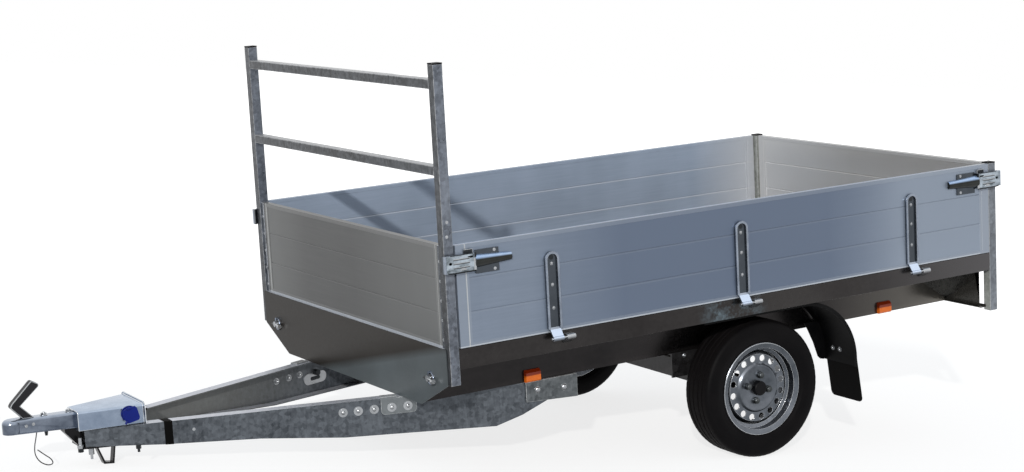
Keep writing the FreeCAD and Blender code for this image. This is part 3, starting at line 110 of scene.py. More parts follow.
# One finish: its node tree, its place on the level trailer and its shader
class Finish:
    def __init__(self, name):
        self.material = materials[name] = bpy.data.materials.new(name)
        self.material.use_nodes = True
        self.tree = self.material.node_tree
        self.place = self.node("Mapping", "Vector", Rotation=tuple(untip.to_euler()),
                               Location=tuple(untip.to_translation()),
                               Vector=self.node("TexCoord", "Object"))
        split = self.node("SeparateXYZ", 0, self.place).socket.node
        self.along = {key: Wire(self.tree, split.outputs[key]) for key in "XYZ"}
        self.x, self.y, self.z = self.along.values()

    def node(self, kind, output, *values, **named):
        return newNode(self.tree, "ShaderNode" + kind, output, *values, **named)

    def worn(self):
        # 1 on the rounded edges of a softened piece, where the finishes paint a highlight
        return self.node("Attribute", "Fac", attribute_name="worn")

    def facing(self, way=(0, 0, 1)):
        # 1 on faces that look along the level way (tops by default), 0 beside it, -1 away from it
        return self.node("VectorMath", "Value", self.node("TexCoord", "Normal"),
                         tuple(tipTurn @ Vector(way)), operation="DOT_PRODUCT")

    def noise(self, scale, detail=3.0, roughness=0.55, stretch=None):
        where = self.place
        if stretch:
            where = self.node("VectorMath", 0, where, stretch, operation="MULTIPLY")
        return self.node("TexNoise", "Fac", Vector=where, Scale=scale, Detail=detail, Roughness=roughness)

    def grains(self, scale):
        cells = self.node("TexVoronoi", "Color", Vector=self.place, Scale=scale)
        return self.node("SeparateColor", 0, cells)

    def ridges(self, scale, axis):
        return self.node("TexWave", "Fac", bands_direction=axis, Vector=self.place, Scale=scale)

    def blend(self, factor, first, second):
        mixed = self.node("Mix", 2, factor, data_type="RGBA")
        for place, value in ((6, first), (7, second)):
            feed(value, mixed.socket.node.inputs[place])
        return mixed

    def set(self, **values):
        for key, value in values.items():
            feed(value, self.tree.nodes["Principled BSDF"].inputs[key.replace("_", " ")])

    def bump(self, height, strength, distance):
        self.set(Normal=self.node("Bump", "Normal", Height=height, Strength=strength,
                                  Distance=distance))


def galvanised(name, dark, light, dusty, roughness=0.42, spangle=75.0, metallic=0.6, front=None, inner=False,
               paleFrom=None, farWeb=None):
    # Hot-dip zinc: clouds, spangle and runs, with pale dust and a painted sky sheen on what faces up and a
    # painted highlight on rounded edges
    made = Finish(name)
    clouds = made.noise(4.5, 5.0, 0.62)
    mottle = made.noise(52.0, 5.0, 0.68)
    grains = made.grains(spangle)
    streaks = made.noise(75.0, 4.0, 0.65, stretch=(1.0, 1.0, 0.07))
    tone = clouds.spread() * 0.26 + grains * 0.22 + mottle.spread() * 0.2 + streaks * 0.32
    # Pale dust and painted sky sheen on what faces up
    top = made.facing().spread(0.45, 0.95) * 0.8
    metal = made.blend(tone.spread(0.2, 0.8), dark, light)
    # Painted light and shade on the face that looks forward: a dark tone there is painted shade, a pale one
    # painted light
    if front:
        amount, deep, pale = front
        blotches = clouds.spread(0.35, 0.65) * 0.3 + mottle.spread(0.4, 0.7) * 0.5
        spots = made.blend(streaks.spread(0.46, 0.72) * 0.2 + blotches, deep, pale)
        ahead = made.facing((1, 0, 0))
        if inner:
            # Also the face that looks towards the bed, lightened there as painted light
            ahead = ahead.most(made.y * made.facing((0, 1, 0)) < -0.4)
        metal = made.blend(ahead.spread(0.6, 0.95) * amount, metal, spots)
    if paleFrom:
        metal = made.blend((made.x > paleFrom) * 0.75, metal, light)
    if farWeb:
        # Daylight on the far beam's web, towards the coupling
        lit = (made.y < 0.0) * made.facing((0, 1, 0)).spread(0.4, 0.8) * made.x.spread(1.3, 1.9)
        metal = made.blend(lit * 0.55, metal, farWeb)
    # Painted highlight on the rounded edges
    metal = made.blend(made.worn() * mottle.spread(0.3, 0.6) * 0.85, metal, dusty)
    made.set(Base_Color=made.blend(top, metal, dusty), Metallic=metallic,
             Roughness=clouds * 0.18 + grains * 0.16 + (roughness - 0.16))
    made.bump(grains * 0.4 + streaks * 0.3 + mottle * 0.3, 0.16, 0.0006)


def rolledSheet(name, dark, light, roughness=0.24, lower=None, metallic=0.8, patch=None, rear=None):
    # Smooth hot-dip sheet: soft clouds, faint rolling lines and a clear gloss
    made = Finish(name)
    clouds = made.noise(2.2, 4.0, 0.55)
    lines = made.noise(30.0, 3.0, 0.5, stretch=(0.2, 0.05, 1.4))
    grains = made.grains(90.0)
    tone = clouds.spread() * 0.55 + lines * 0.3 + grains * 0.15
    colour = made.blend(tone, dark, light)
    if rear:
        colour = made.blend(made.x.spread(-0.45, -1.15) * 0.8, colour, rear)
    if patch:
        spangle = (made.x - patch).size().spread(0.17, 0.06) * made.noise(26.0, 3.0, 0.6).spread(0.42, 0.62)
        colour = made.blend(spangle * (grains * 0.6 + 0.4), colour, (0.1, 0.13, 0.15))
    if lower:
        # Painted sky sheen: lighter and bluer towards the lower edge of the front sheet
        lowerSheen = (made.z - made.y * 0.235).spread(0.5, 0.465)
        lowerSheen = lowerSheen * (clouds.spread() * 0.4 + 0.6)
        colour = made.blend(lowerSheen, colour, lower)
    made.set(Base_Color=colour, Metallic=metallic, Specular_IOR_Level=0.12 if lower else 0.3,
             Roughness=clouds * 0.16 + grains * 0.06 + (roughness - 0.1))
    made.bump(lines * 0.6 + grains * 0.4, 0.06, 0.0004)


# Heights on the straps: above the first, painted shade in the hollow; below the second, a painted highlight
# on the foot
hollow = {"above": 0.668, "footBelow": 0.672}


def zincPlate(name, dark, light, under, roughness=0.24, recess=None):
    # Bright zinc: painted sky highlight on top, painted shade underneath and in a strap's hollow, painted
    # highlights on a strap's foot and rounded edges
    made = Finish(name)
    clouds = made.noise(16.0, 4.0, 0.6)
    fine = made.noise(170.0, 3.0, 0.5)
    face = made.facing()
    # Painted sky highlight: lighter on what faces up
    metal = made.blend(face.spread(-0.1, 0.85) * 0.7 + clouds.spread() * 0.3, dark, light)
    # Painted shade on what faces down, in the under colour
    colour = made.blend(face.spread(-0.12, -0.6) * 0.85, metal, under)
    # Painted highlight on the rounded edges
    colour = made.blend(made.worn() * 0.85, colour, (0.74, 0.76, 0.78))
    if recess:
        axis, depth = recess
        # Painted shade in a strap's hollow
        deep = (made.along[axis].size() < depth) * (made.z > hollow["above"])
        colour = made.blend(deep * 0.88, colour, under)
        # Painted sky highlight on a strap's foot
        footHighlight = (made.z < hollow["footBelow"]) * face.spread(0.15, 0.5)
        colour = made.blend(footHighlight * 0.9, colour, (0.66, 0.77, 0.95))
    made.set(Base_Color=colour, Metallic=0.9, Roughness=clouds * 0.2 + (roughness - 0.08))
    made.bump(fine, 0.1, 0.0004)


def pressedZinc(name):
    # Pressed hook plate: painted reflections of clear sky and dark ground, in patches that follow its dents
    made = Finish(name)
    dents = made.noise(30.0, 2.0, 0.5, stretch=(0.6, 0.6, 1.4))
    fine = made.noise(110.0, 3.0, 0.6)
    tone = dents.spread(0.38, 0.62) * 0.7 + fine.spread() * 0.3
    made.set(Base_Color=made.blend(tone, (0.042, 0.054, 0.06), (0.42, 0.48, 0.54)), Metallic=0.8,
             Roughness=dents * 0.2 + 0.2)
    made.bump(dents * 0.8 + fine * 0.2, 0.12, 0.0012)


def leverZinc(name):
    # Painted sky highlight on the crown, painted shade on the near-black flank and underside
    made = Finish(name)
    clouds = made.noise(24.0, 3.0, 0.6)
    face = made.facing()
    crown = made.blend(clouds, (0.26, 0.4, 0.66), (0.5, 0.62, 0.8))
    shadedFlank = made.blend(clouds, (0.012, 0.013, 0.012), (0.034, 0.036, 0.034))
    made.set(Base_Color=made.blend(face.spread(0.62, 0.3), crown, shadedFlank), Metallic=0.75,
             Roughness=clouds * 0.12 + 0.16)
    made.bump(clouds, 0.08, 0.0006)


# The edge, gloom and inner colours carry painted light and shade, as set out in boardAluminium
board = {
    "low": 0.661, "high": 1.027, "strip": 0.0145, "trim": 0.05, "joints": (0.783, 0.905), "joint": 0.0042,
    "dark": (0.14, 0.173, 0.226), "light": (0.192, 0.229, 0.292), "edge": (0.275, 0.305, 0.35),
    "seam": 0.038, "seamHalf": 0.0024, "seamTone": (0.5, 0.51, 0.5), "pale": (0.24, 0.27, 0.32),
    "lip": 0.0052, "lipTone": (0.44, 0.47, 0.51), "gloom": (0.092, 0.12, 0.175), "rear": (0.215, 0.252, 0.31),
    "innerFace": 0.78, "innerDark": (0.27, 0.33, 0.42), "innerLight": (0.36, 0.43, 0.545),
    "innerWarm": (0.55, 0.555, 0.565), "tailFace": -1.165,
}


def boardAluminium(name, axis, middle, half, dark, light, edge, paleEnd=None, inside=None, gloom=None):
    # Brushed boards with joints; gloom is painted shade, a darker stretch: its tone, its share and where it
    # comes and goes
    made = Finish(name)
    stretch = (0.04, 1.0, 1.0) if axis == "X" else (1.0, 0.04, 1.0)
    brushed = made.noise(150.0, 3.0, 0.55, stretch=stretch)
    clouds = made.noise(3.0, 4.0, 0.55)
    bands = made.noise(7.0, 2.0, 0.5, stretch=(1.0, 1.0, 0.12))
    tone = brushed.spread() * 0.3 + clouds.spread() * 0.4 + bands.spread() * 0.3
    height = made.z
    run = (made.along[axis] - middle).size()
    # Painted highlight: lighter edge strips and end trims, and joints lightened against their grooves' shade
    rim = (height < board["low"] + board["strip"]).most(height > board["high"] - board["strip"]) * 0.3
    rim = rim.most((run > half - board["trim"]) * 0.34)
    for joint in board["joints"]:
        rim = rim.most(((height - joint).size() < board["joint"]) * 0.15)
    face = made.blend(tone, dark, light)
    if paleEnd:
        face = made.blend(made.x.spread(-0.42, -0.74) * 0.9, face, board["rear"])
    if gloom:
        deep, share, first, firstFull, lastFull, last = gloom
        place = made.along[axis]
        face = made.blend(place.spread(first, firstFull) * place.spread(last, lastFull) * share, face, deep)
    colour = made.blend(rim, face, edge)
    colour = made.blend((height < board["low"] + board["lip"]) * 0.8, colour, board["lipTone"])
    seam = (run - (half - board["seam"])).size() < board["seamHalf"]
    colour = made.blend(seam * 0.6, colour, board["seamTone"])
    if paleEnd:
        colour = made.blend((made.x < paleEnd) * 0.8, colour, board["pale"])
        # The face towards the bed is a lighter copy of the board colour, painted light; its joints are
        # lightened against their grooves' shade and it turns pale warm grey towards the tailgate
        inner = made.blend(tone, board["innerDark"], board["innerLight"])
        for joint in board["joints"]:
            inner = made.blend(((height - joint).size() < board["joint"]) * 0.3, inner, board["innerWarm"])
        warm = made.x.spread(-0.78, -1.14)
        inner = made.blend(warm * 0.75, inner, board["innerWarm"])
        colour = made.blend(made.y.size() < board["innerFace"], colour, inner)
    if inside:
        # Painted sunlight on the tailgate's inner face, fullest towards the far side
        sunny = made.y.spread(-0.08, -0.78) * 0.75 + made.y.spread(0.15, 0.7) * 0.15 + tone * 0.1
        colour = made.blend(made.x > board["tailFace"], colour, made.blend(sunny, *inside))
    made.set(Base_Color=colour, Metallic=0.45, Roughness=brushed * 0.14 + clouds * 0.1 + 0.3)
    made.bump(brushed, 0.07, 0.0003)


def plastic(name, colour, lighter, roughness=0.5, scale=900.0, dusty=0.6, gloss=0.2, edge=0.0):
    made = Finish(name)
    grain = made.noise(scale, 2.0, 0.5)
    dust = made.noise(8.0, 4.0, 0.6)
    tone = made.blend(dust.spread(0.35, 0.8) * dusty + grain * (1.0 - dusty) * 0.5, colour, lighter)
    # Painted highlight on the rounded edges
    made.set(Base_Color=made.blend(made.worn() * edge, tone, (0.42, 0.43, 0.44)),
             Roughness=dust * 0.2 + (roughness - 0.1), Specular_IOR_Level=gloss)
    made.bump(grain, 0.12, 0.0002)


def spanOf(label, axis):
    # Lowest and highest place of a node on the level trailer
    places = [(untip @ vertex.co)[axis] for vertex in nodes[label].data.vertices]
    return min(places), max(places)


def markerLens(name):
    # Dark orange over bright orange, with fine upright ribs and a faint painted glow, strongest on the bright
    # half
    low, high = spanOf("side_markers", 2)
    middle = low * 0.46 + high * 0.54
    made = Finish(name)
    grain = made.noise(60.0, 2.0, 0.5)
    upper = made.z.spread(middle - 0.001, middle + 0.001)
    ribs = made.ridges(90.0, "X")
    bright = made.blend(grain, (0.52, 0.1, 0.006), (0.64, 0.14, 0.01))
    made.set(Base_Color=made.blend(upper, bright, (0.32, 0.032, 0.005)), Roughness=grain * 0.08 + 0.12,
             Emission_Color=made.blend(upper, (0.9, 0.16, 0.01), (0.3, 0.02, 0.0)), Emission_Strength=0.08,
             Specular_IOR_Level=0.3)
    made.bump(ribs, 0.25, 0.0006)


lamp = {"amberFrom": 0.607, "redFrom": 0.515}


def lampLens(name):
    # Indicator, brake and tail fields of one rear lamp, from its outer end inwards
    made = Finish(name)
    side = made.y.size()
    grain = made.noise(70.0, 2.0, 0.5)
    amber = made.blend(grain, (0.62, 0.12, 0.008), (0.74, 0.17, 0.012))
    red = made.blend(grain, (0.28, 0.006, 0.006), (0.38, 0.012, 0.01))
    clear = made.blend(grain, (0.45, 0.45, 0.46), (0.56, 0.56, 0.57))
    fields = made.blend(side > lamp["amberFrom"], made.blend(side > lamp["redFrom"], clear, red), amber)
    ribs = made.ridges(70.0, "Y") + made.ridges(70.0, "Z")
    made.set(Base_Color=fields, Roughness=grain * 0.1 + 0.1, Specular_IOR_Level=0.3)
    made.bump(ribs, 0.3, 0.0008)


def plyFloor(name):
    # Film-faced plywood: brown film pressed with a fine mesh, ply edges at the sides
    made = Finish(name)
    clouds = made.noise(3.5, 5.0, 0.6)
    mesh = made.ridges(95.0, "X") * made.ridges(95.0, "Y")
    scratches = made.noise(40.0, 4.0, 0.7, stretch=(0.06, 1.0, 1.0))
    tone = clouds.spread() * 0.5 + scratches.spread(0.45, 0.8) * 0.35 + mesh * 0.15
    made.set(Base_Color=made.blend(tone, (0.035, 0.021, 0.014), (0.085, 0.055, 0.038)),
             Roughness=clouds * 0.2 + mesh * 0.15 + 0.35, Specular_IOR_Level=0.3)
    made.bump(mesh * 0.7 + scratches * 0.3, 0.3, 0.0005)


tyreMiddle = 0.662


def tyreRubber(name):
    made = Finish(name)
    fine = made.noise(420.0, 2.0, 0.6)
    dust = made.noise(9.0, 4.0, 0.6)
    tread = (made.y.size() - tyreMiddle).size().spread(0.056, 0.066, 1.0, 0.0)
    made.set(Base_Color=made.blend(dust.spread(0.4, 0.85) * 0.4 + tread * 0.4, (0.0016, 0.0014, 0.0018),
                                   (0.0085, 0.0072, 0.0072)), Roughness=dust * 0.16 + tread * 0.12 + 0.46,
             Specular_IOR_Level=0.06)
    made.bump(fine, 0.18, 0.0004)


# The first colour here is the zinc finishes' under colour: painted shade on their undersides
undersideShade, brightDark, brightLight = (0.022, 0.026, 0.03), (0.115, 0.135, 0.17), (0.52, 0.58, 0.68)
galvanised("galvanised", (0.018, 0.022, 0.028), (0.125, 0.14, 0.16), (0.64, 0.66, 0.72),
           farWeb=(0.2, 0.2, 0.185))
# The rack posts' forward faces get painted shade; the rear posts' forward and inner faces get painted light
galvanised("galvanisedRack", (0.035, 0.04, 0.05), (0.205, 0.228, 0.27), (0.36, 0.365, 0.375), 0.34,
           front=(1.0, (0.005, 0.006, 0.008), (0.105, 0.114, 0.128)))
galvanised("galvanisedRear", (0.055, 0.062, 0.074), (0.22, 0.24, 0.27), (0.42, 0.43, 0.44), 0.36,
           metallic=0.2, inner=True, front=(0.9, (0.22, 0.23, 0.21), (0.52, 0.54, 0.51)))
# A near-black copy of the zinc for the bearers and the axle: painted shade and painted reflection of dark
# ground
galvanised("galvanisedDark", (0.014, 0.0135, 0.014), (0.05, 0.048, 0.05), (0.1, 0.1, 0.1), 0.34, 55.0)
galvanised("bracketZinc", (0.02, 0.024, 0.028), (0.165, 0.18, 0.19), (0.55, 0.56, 0.57), paleFrom=1.2)
rolledSheet("crossSheet", (0.05, 0.048, 0.044), (0.11, 0.108, 0.1), 0.26)
# Near-black copies of the sheet for the side rails and the chassis members: painted reflection of dark ground
rolledSheet("railSheet", (0.018, 0.0158, 0.0158), (0.046, 0.043, 0.042), 0.24, patch=0.17,
            rear=(0.085, 0.082, 0.085))
rolledSheet("chassisSheet", (0.013, 0.012, 0.0125), (0.032, 0.029, 0.029), 0.22, rear=(0.16, 0.15, 0.135))
rolledSheet("footSheet", (0.008, 0.008, 0.009), (0.022, 0.021, 0.022), 0.3)
# The front sheet's dark brown is painted reflection of dark ground too
rolledSheet("frontSheet", (0.013, 0.0105, 0.0085), (0.027, 0.023, 0.019), 0.34, lower=(0.105, 0.122, 0.13),
            metallic=0.15)
rolledSheet("darkZinc", (0.012, 0.014, 0.016), (0.036, 0.04, 0.044), 0.3)
pressedZinc("pressedZinc")
leverZinc("leverZinc")
zincPlate("zinc", (0.062, 0.078, 0.118), (0.42, 0.49, 0.61), undersideShade, 0.2)
zincPlate("boxZinc", (0.125, 0.165, 0.235), (0.5, 0.58, 0.7), undersideShade, 0.2)
zincPlate("bodyZinc", (0.034, 0.044, 0.066), (0.42, 0.48, 0.58), undersideShade, 0.18)
zincPlate("rimBolt", (0.03, 0.034, 0.034), (0.16, 0.17, 0.18), (0.015, 0.016, 0.016), 0.28)
zincPlate("sideZinc", brightDark, brightLight, (0.03, 0.035, 0.04), 0.2, ("Y", 0.7955))
zincPlate("tailZinc", brightDark, brightLight, (0.03, 0.035, 0.04), 0.2, ("X", 1.1815))
zincPlate("fastener", (0.24, 0.25, 0.265), (0.68, 0.7, 0.72), (0.07, 0.07, 0.075), 0.26)
zincPlate("rim_silver", (0.052, 0.06, 0.07), (0.28, 0.3, 0.34), (0.034, 0.038, 0.044), 0.24)
zincPlate("cable_steel", (0.02, 0.02, 0.022), (0.07, 0.07, 0.075), (0.012, 0.012, 0.013), 0.36)
boardAluminium("sideBoard", "X", 0.1085, 1.248, board["dark"], board["light"], board["edge"], paleEnd=-1.09,
               gloom=(board["gloom"], 0.9, 1.06, 0.66, -0.3, -0.66))
boardAluminium("frontBoard", "Y", 0.0, 0.748, (0.11, 0.113, 0.112), (0.148, 0.151, 0.15), (0.23, 0.23, 0.23),
               gloom=((0.068, 0.069, 0.069), 1.0, -0.74, -0.36, 0.05, 0.68))
boardAluminium("tailBoard", "Y", 0.0, 0.743, (0.225, 0.228, 0.228), (0.29, 0.292, 0.288), (0.4, 0.4, 0.4),
               inside=((0.425, 0.42, 0.41), (0.65, 0.655, 0.66)))
plastic("black_plastic", (0.0012, 0.0012, 0.0015), (0.0065, 0.0065, 0.007), 0.46, gloss=0.07)
plastic("black_rubber", (0.001, 0.001, 0.001), (0.0045, 0.004, 0.004), 0.6, 500.0, gloss=0.04)
plastic("black_paint", (0.005, 0.005, 0.006), (0.022, 0.022, 0.025), 0.34, 260.0, gloss=0.2, edge=0.8)
plastic("black_iron", (0.0015, 0.0015, 0.002), (0.006, 0.006, 0.007), 0.4, 300.0, gloss=0.1, edge=0.3)
plastic("blue_plastic", (0.003, 0.008, 0.11), (0.008, 0.02, 0.2), 0.3, 400.0, gloss=0.12)
markerLens("amber_lens")
lampLens("lamp_lens")
tyreRubber("tyre_rubber")
plyFloor("floor")

# Nodes with a finish of their own; every other node has the finish that its slot names
ownFinish = {label: finish for finish, labels in {
    "railSheet": ("side_rail_left", "side_rail_right"), "galvanised": ("end_rails",),
    "chassisSheet": ("chassis_member_left", "chassis_member_right"), "crossSheet": ("rear_crossmember",),
    "galvanisedDark": ("floor_bearers", "axle_beam", "axle_arms"), "fastener": ("hinge_lugs",),
    "footSheet": ("foot_strap",), "frontSheet": ("front_sheet",), "tailZinc": ("tailgate_fittings",),
    "sideZinc": ("side_fittings_left", "side_fittings_right"), "galvanisedRear": ("rear_posts",),
    "galvanisedRack": ("rack_posts", "rack_rails"), "bracketZinc": ("drawbar_brackets",),
    "boxZinc": ("coupling_box",), "bodyZinc": ("coupling_body",), "frontBoard": ("front_board",),
    "sideBoard": ("side_board_left", "side_board_right"), "tailBoard": ("tailgate",),
}.items() for label in labels}
for entry in record["subparts"]:
    item = nodes[entry["node"]]
    slot = ownFinish.get(entry["node"], entry["material_slot"])
    item.data.materials.clear()
    item.data.materials.append(materials[slot])
print("materials assigned")


def surfaces():
    # One search tree over the frame's own faces, so that a small piece can be set on what carries it
    points, faces = [], []
    for item in nodes.values():
        start = len(points)
        points += [item.matrix_world @ vertex.co for vertex in item.data.vertices]
        faces += [tuple(start + index for index in face.vertices) for face in item.data.polygons]
    return BVHTree.FromPolygons(points, faces)


skin = surfaces()


def drop(start, direction):
    # Where a line from start meets the trailer first, and the way that face looks
    way = tipTurn @ Vector(direction).normalized()
    place, normal, index, distance = skin.ray_cast(level(*start), way)
    if place is None:
        raise ValueError("nothing under %s" % (start,))
    return place, (normal if normal.dot(way) < 0 else -normal)


def onBothSides(x, y, z, way=-1):
    # The same start on the left and the right, looking in or out across the trailer
    return [drop((x, sign * y, z), (0, sign * way, 0)) for sign in (1, -1)]


def linked(name, data):
    item = bpy.data.objects.new(name, data)
    bpy.context.collection.objects.link(item)
    return item


def meshOf(shape, name):
    mesh = bpy.data.meshes.new(name)
    shape.to_mesh(mesh)
    shape.free()
    return mesh


def baked(holder, name):
    # The mesh as the holder's modifier leaves it, without the holder
    mesh = bpy.data.meshes.new_from_object(holder.evaluated_get(bpy.context.evaluated_depsgraph_get()))
    holder.modifiers.clear()
    bpy.data.objects.remove(holder)
    mesh.name = name
    return mesh


def placed(name, mesh, body, slot, finish=None, replaced=()):
    item = linked(name, mesh)
    mesh.materials.clear()
    mesh.materials.append(materials[finish or slot])
    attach(item, body)
    if replaced:
        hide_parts(*replaced)


def finished(name, mesh, body, slot, finish=None, angle=32.0, replaced=()):
    mesh.validate()
    mesh.shade_smooth()
    mesh.set_sharp_from_angle(angle=math.radians(angle))
    placed(name, mesh, body, slot, finish, replaced)


# Straight pieces get the small edge radius of the real sections, on a merged copy
edges = {
    "rack_posts": 0.0032, "rack_rails": 0.003, "rear_posts": 0.0032, "drawbar_beam_left": 0.003,
    "drawbar_beam_right": 0.003, "side_board_left": 0.0016, "side_board_right": 0.0016, "front_board": 0.0016,
    "tailgate": 0.0016, "coupling_box": 0.002, "side_rail_left": 0.0022, "side_rail_right": 0.0022,
    "coupling_handle": 0.0028, "coupling_body": 0.0024, "board_channels": 0.0012, "rear_crossmember": 0.002,
    "lock_pins": 0.0004, "wheel_rim_left": 0.0006, "wheel_rim_right": 0.0006, "side_fittings_left": 0.0009,
    "side_fittings_right": 0.0009, "tailgate_fittings": 0.0009, "drawbar_brackets": 0.0014,
    "foot_strap": 0.0012,
}
softening = {"merge": 0.00002, "flat": 0.6, "boardCrease": 8, "crease": 24, "bevelFrom": 50, "steps": 2}
carrier = {label: body for body, labels in record["behaviour"]["bodies"].items() for label in labels}
slots = {entry["node"]: entry["material_slot"] for entry in record["subparts"]}


def softened(label, width):
    shape = bmesh.new()
    shape.from_mesh(nodes[label].data)
    bmesh.ops.remove_doubles(shape, verts=shape.verts, dist=softening["merge"])
    bmesh.ops.dissolve_limit(shape, angle_limit=math.radians(softening["flat"]), verts=shape.verts,
                             edges=shape.edges)
    mesh = meshOf(shape, label + "Plain")
    mesh.shade_smooth()
    crease = softening["boardCrease" if "board" in label or label == "tailgate" else "crease"]
    mesh.set_sharp_from_angle(angle=math.radians(crease))
    mesh.materials.append(None)
    mesh.materials.append(None)
    holder = linked(label + "Plain", mesh)
    bevel = holder.modifiers.new("edges", "BEVEL")
    bevel.width = width
    bevel.segments = softening["steps"]
    bevel.limit_method = "ANGLE"
    bevel.angle_limit = math.radians(softening["bevelFrom"])
    bevel.harden_normals = True
    bevel.material = 1
    made = baked(holder, label + "_edged")
    # The bevel's faces are marked for the finishes' painted edge highlight
    worn = made.attributes.new("worn", "FLOAT", "FACE")
    for face, value in zip(made.polygons, worn.data):
        value.value = float(face.material_index)
        face.material_index = 0
    placed(label + "_edged", made, carrier[label], slots[label], ownFinish.get(label), (label,))


for label, width in edges.items():
    softened(label, width)
print("edges softened")

# Fasteners: the sizes of each kind, in the order of the names above them
boltSizes = ("Washer Radius", "Washer Height", "Head Radius", "Head Height", "Head Sides", "Dome Radius",
             "Dome Height")
bolts = {
    "dash": (0.0062, 0.0008, 0.0052, 0.001, 18, 0.0046, 0.0018),
    "saucer": (0.017, 0.0022, 0.012, 0.0034, 24, 0.0075, 0.0044),
    "mushroom": (0.0132, 0.0014, 0.0126, 0.0022, 24, 0.012, 0.0064),
    "hex": (0.0135, 0.0016, 0.0105, 0.0088, 6, 0.0055, 0.0045),
    "smallHex": (0.0095, 0.0013, 0.0074, 0.0056, 6, 0.004, 0.003),
    "screw": (0.0058, 0.0007, 0.0046, 0.0011, 16, 0.0022, 0.0003),
    "wheelBolt": (0.0135, 0.004, 0.0122, 0.0118, 6, 0.0095, 0.0026),
}
boltSunk, washerSides, domeSteps = 0.0003, 24, (16, 8)


def fastenerTree():
    # One tree sets a washer, a head and a dome on every point, turned along the point's aim
    tree = bpy.data.node_groups.new("fastenerTree", "GeometryNodeTree")
    tree.interface.new_socket("Geometry", in_out="INPUT", socket_type="NodeSocketGeometry")
    for label in boltSizes:
        kind = "NodeSocketInt" if label == "Head Sides" else "NodeSocketFloat"
        tree.interface.new_socket(label, in_out="INPUT", socket_type=kind)
    tree.interface.new_socket("Finish", in_out="INPUT", socket_type="NodeSocketMaterial")
    tree.interface.new_socket("Geometry", in_out="OUTPUT", socket_type="NodeSocketGeometry")
    node = functools.partial(newNode, tree)
    given = {socket.name: Wire(tree, socket) for socket in tree.nodes.new("NodeGroupInput").outputs}
    ball = node("GeometryNodeMeshUVSphere", "Mesh", Segments=domeSteps[0], Rings=domeSteps[1], Radius=1.0)
    wide, tall = given["Dome Radius"], given["Dome Height"]
    size = node("ShaderNodeCombineXYZ", "Vector", wide, wide, tall)
    lift = node("ShaderNodeCombineXYZ", "Vector", Z=given["Head Height"])
    parts = [node("GeometryNodeTransform", "Geometry", Geometry=ball, Scale=size, Translation=lift)]
    for part, count in (("Head", given["Head Sides"]), ("Washer", washerSides)):
        height = given[part + " Height"]
        drum = node("GeometryNodeMeshCylinder", "Mesh", Vertices=count, Radius=given[part + " Radius"],
                    Depth=height)
        lift = node("ShaderNodeCombineXYZ", "Vector", Z=height.math("MULTIPLY_ADD", 0.5, -boltSunk))
        parts.append(node("GeometryNodeTransform", "Geometry", Geometry=drum, Translation=lift))
    gather = node("GeometryNodeJoinGeometry", "Geometry")
    for part in parts:
        feed(part, gather.socket.node.inputs["Geometry"])
    aim = node("GeometryNodeInputNamedAttribute", "Attribute", data_type="FLOAT_VECTOR", Name="aim")
    turn = node("FunctionNodeAlignRotationToVector", "Rotation", axis="Z", Vector=aim)
    spots = node("GeometryNodeMeshToPoints", "Points", Mesh=given["Geometry"])
    put = node("GeometryNodeInstanceOnPoints", "Instances", Points=spots, Instance=gather, Rotation=turn)
    real = node("GeometryNodeRealizeInstances", "Geometry", Geometry=put)
    paint = node("GeometryNodeSetMaterial", "Geometry", Geometry=real, Material=given["Finish"])
    feed(paint, tree.nodes.new("NodeGroupOutput").inputs["Geometry"])
    return tree


fastenings = fastenerTree()


def fasten(name, kind, spots, body, slot="zinc", finish="fastener"):
    mesh = bpy.data.meshes.new(name + "Points")
    mesh.from_pydata([place for place, aim in spots], [], [])
    aims = mesh.attributes.new("aim", "FLOAT_VECTOR", "POINT")
    for value, (place, aim) in zip(aims.data, spots):
        value.vector = aim
    holder = linked(name + "Points", mesh)
    modifier = holder.modifiers.new("fastenings", "NODES")
    modifier.node_group = fastenings
    values = dict(zip(boltSizes, bolts[kind]), Finish=materials[finish])
    for socket in fastenings.interface.items_tree:
        if socket.in_out == "INPUT" and socket.name in values:
            modifier[socket.identifier] = values[socket.name]
    finished(name, baked(holder, name), body, slot, finish)


strap = {
    "places": (0.969, 0.124, -0.721), "tail": (-0.48, 0.0, 0.48), "heights": (0.911, 0.834, 0.749),
    "outside": 0.9, "behind": -1.3,
}


def strapRivets():
    for side, sign in sides:
        spots = [drop((x, sign * strap["outside"], z), (0, -sign, 0)) for x in strap["places"]
                 for z in strap["heights"]]
        fasten("strap_rivets_" + side, "dash", spots, "side_" + side)
    spots = [drop((strap["behind"], y, z), (1, 0, 0)) for y in strap["tail"] for z in strap["heights"]]
    fasten("strap_rivets_tail", "dash", spots, "tailgate")


drawbar = {
    "webBolts": ((1.611, 0.389), (1.558, 0.389), (1.502, 0.389), (1.442, 0.391), (1.385, 0.391)),
    "hangerBolts": ((0.908, 0.393), (0.7915, 0.384)), "outside": 0.62,
    "innerNuts": (1.563, 1.5, 1.444), "inside": 0.05, "nutHeight": 0.376,
    "couplingNuts": (2.616, 2.525), "above": 0.62,
}


def frameBolts():
    for name, kind, key in (("drawbar_bolts", "saucer", "webBolts"),
                            ("hanger_bolts", "mushroom", "hangerBolts")):
        spots = [spot for x, z in drawbar[key] for spot in onBothSides(x, drawbar["outside"], z)]
        fasten(name, kind, spots, "chassis")
    spots = [spot for x in drawbar["innerNuts"]
             for spot in onBothSides(x, drawbar["inside"], drawbar["nutHeight"], 1)]
    spots += [drop((x, 0.0, drawbar["above"]), (0, 0, -1)) for x in drawbar["couplingNuts"]]
    fasten("frame_nuts", "hex", spots, "chassis")


strapRivets()
frameBolts()

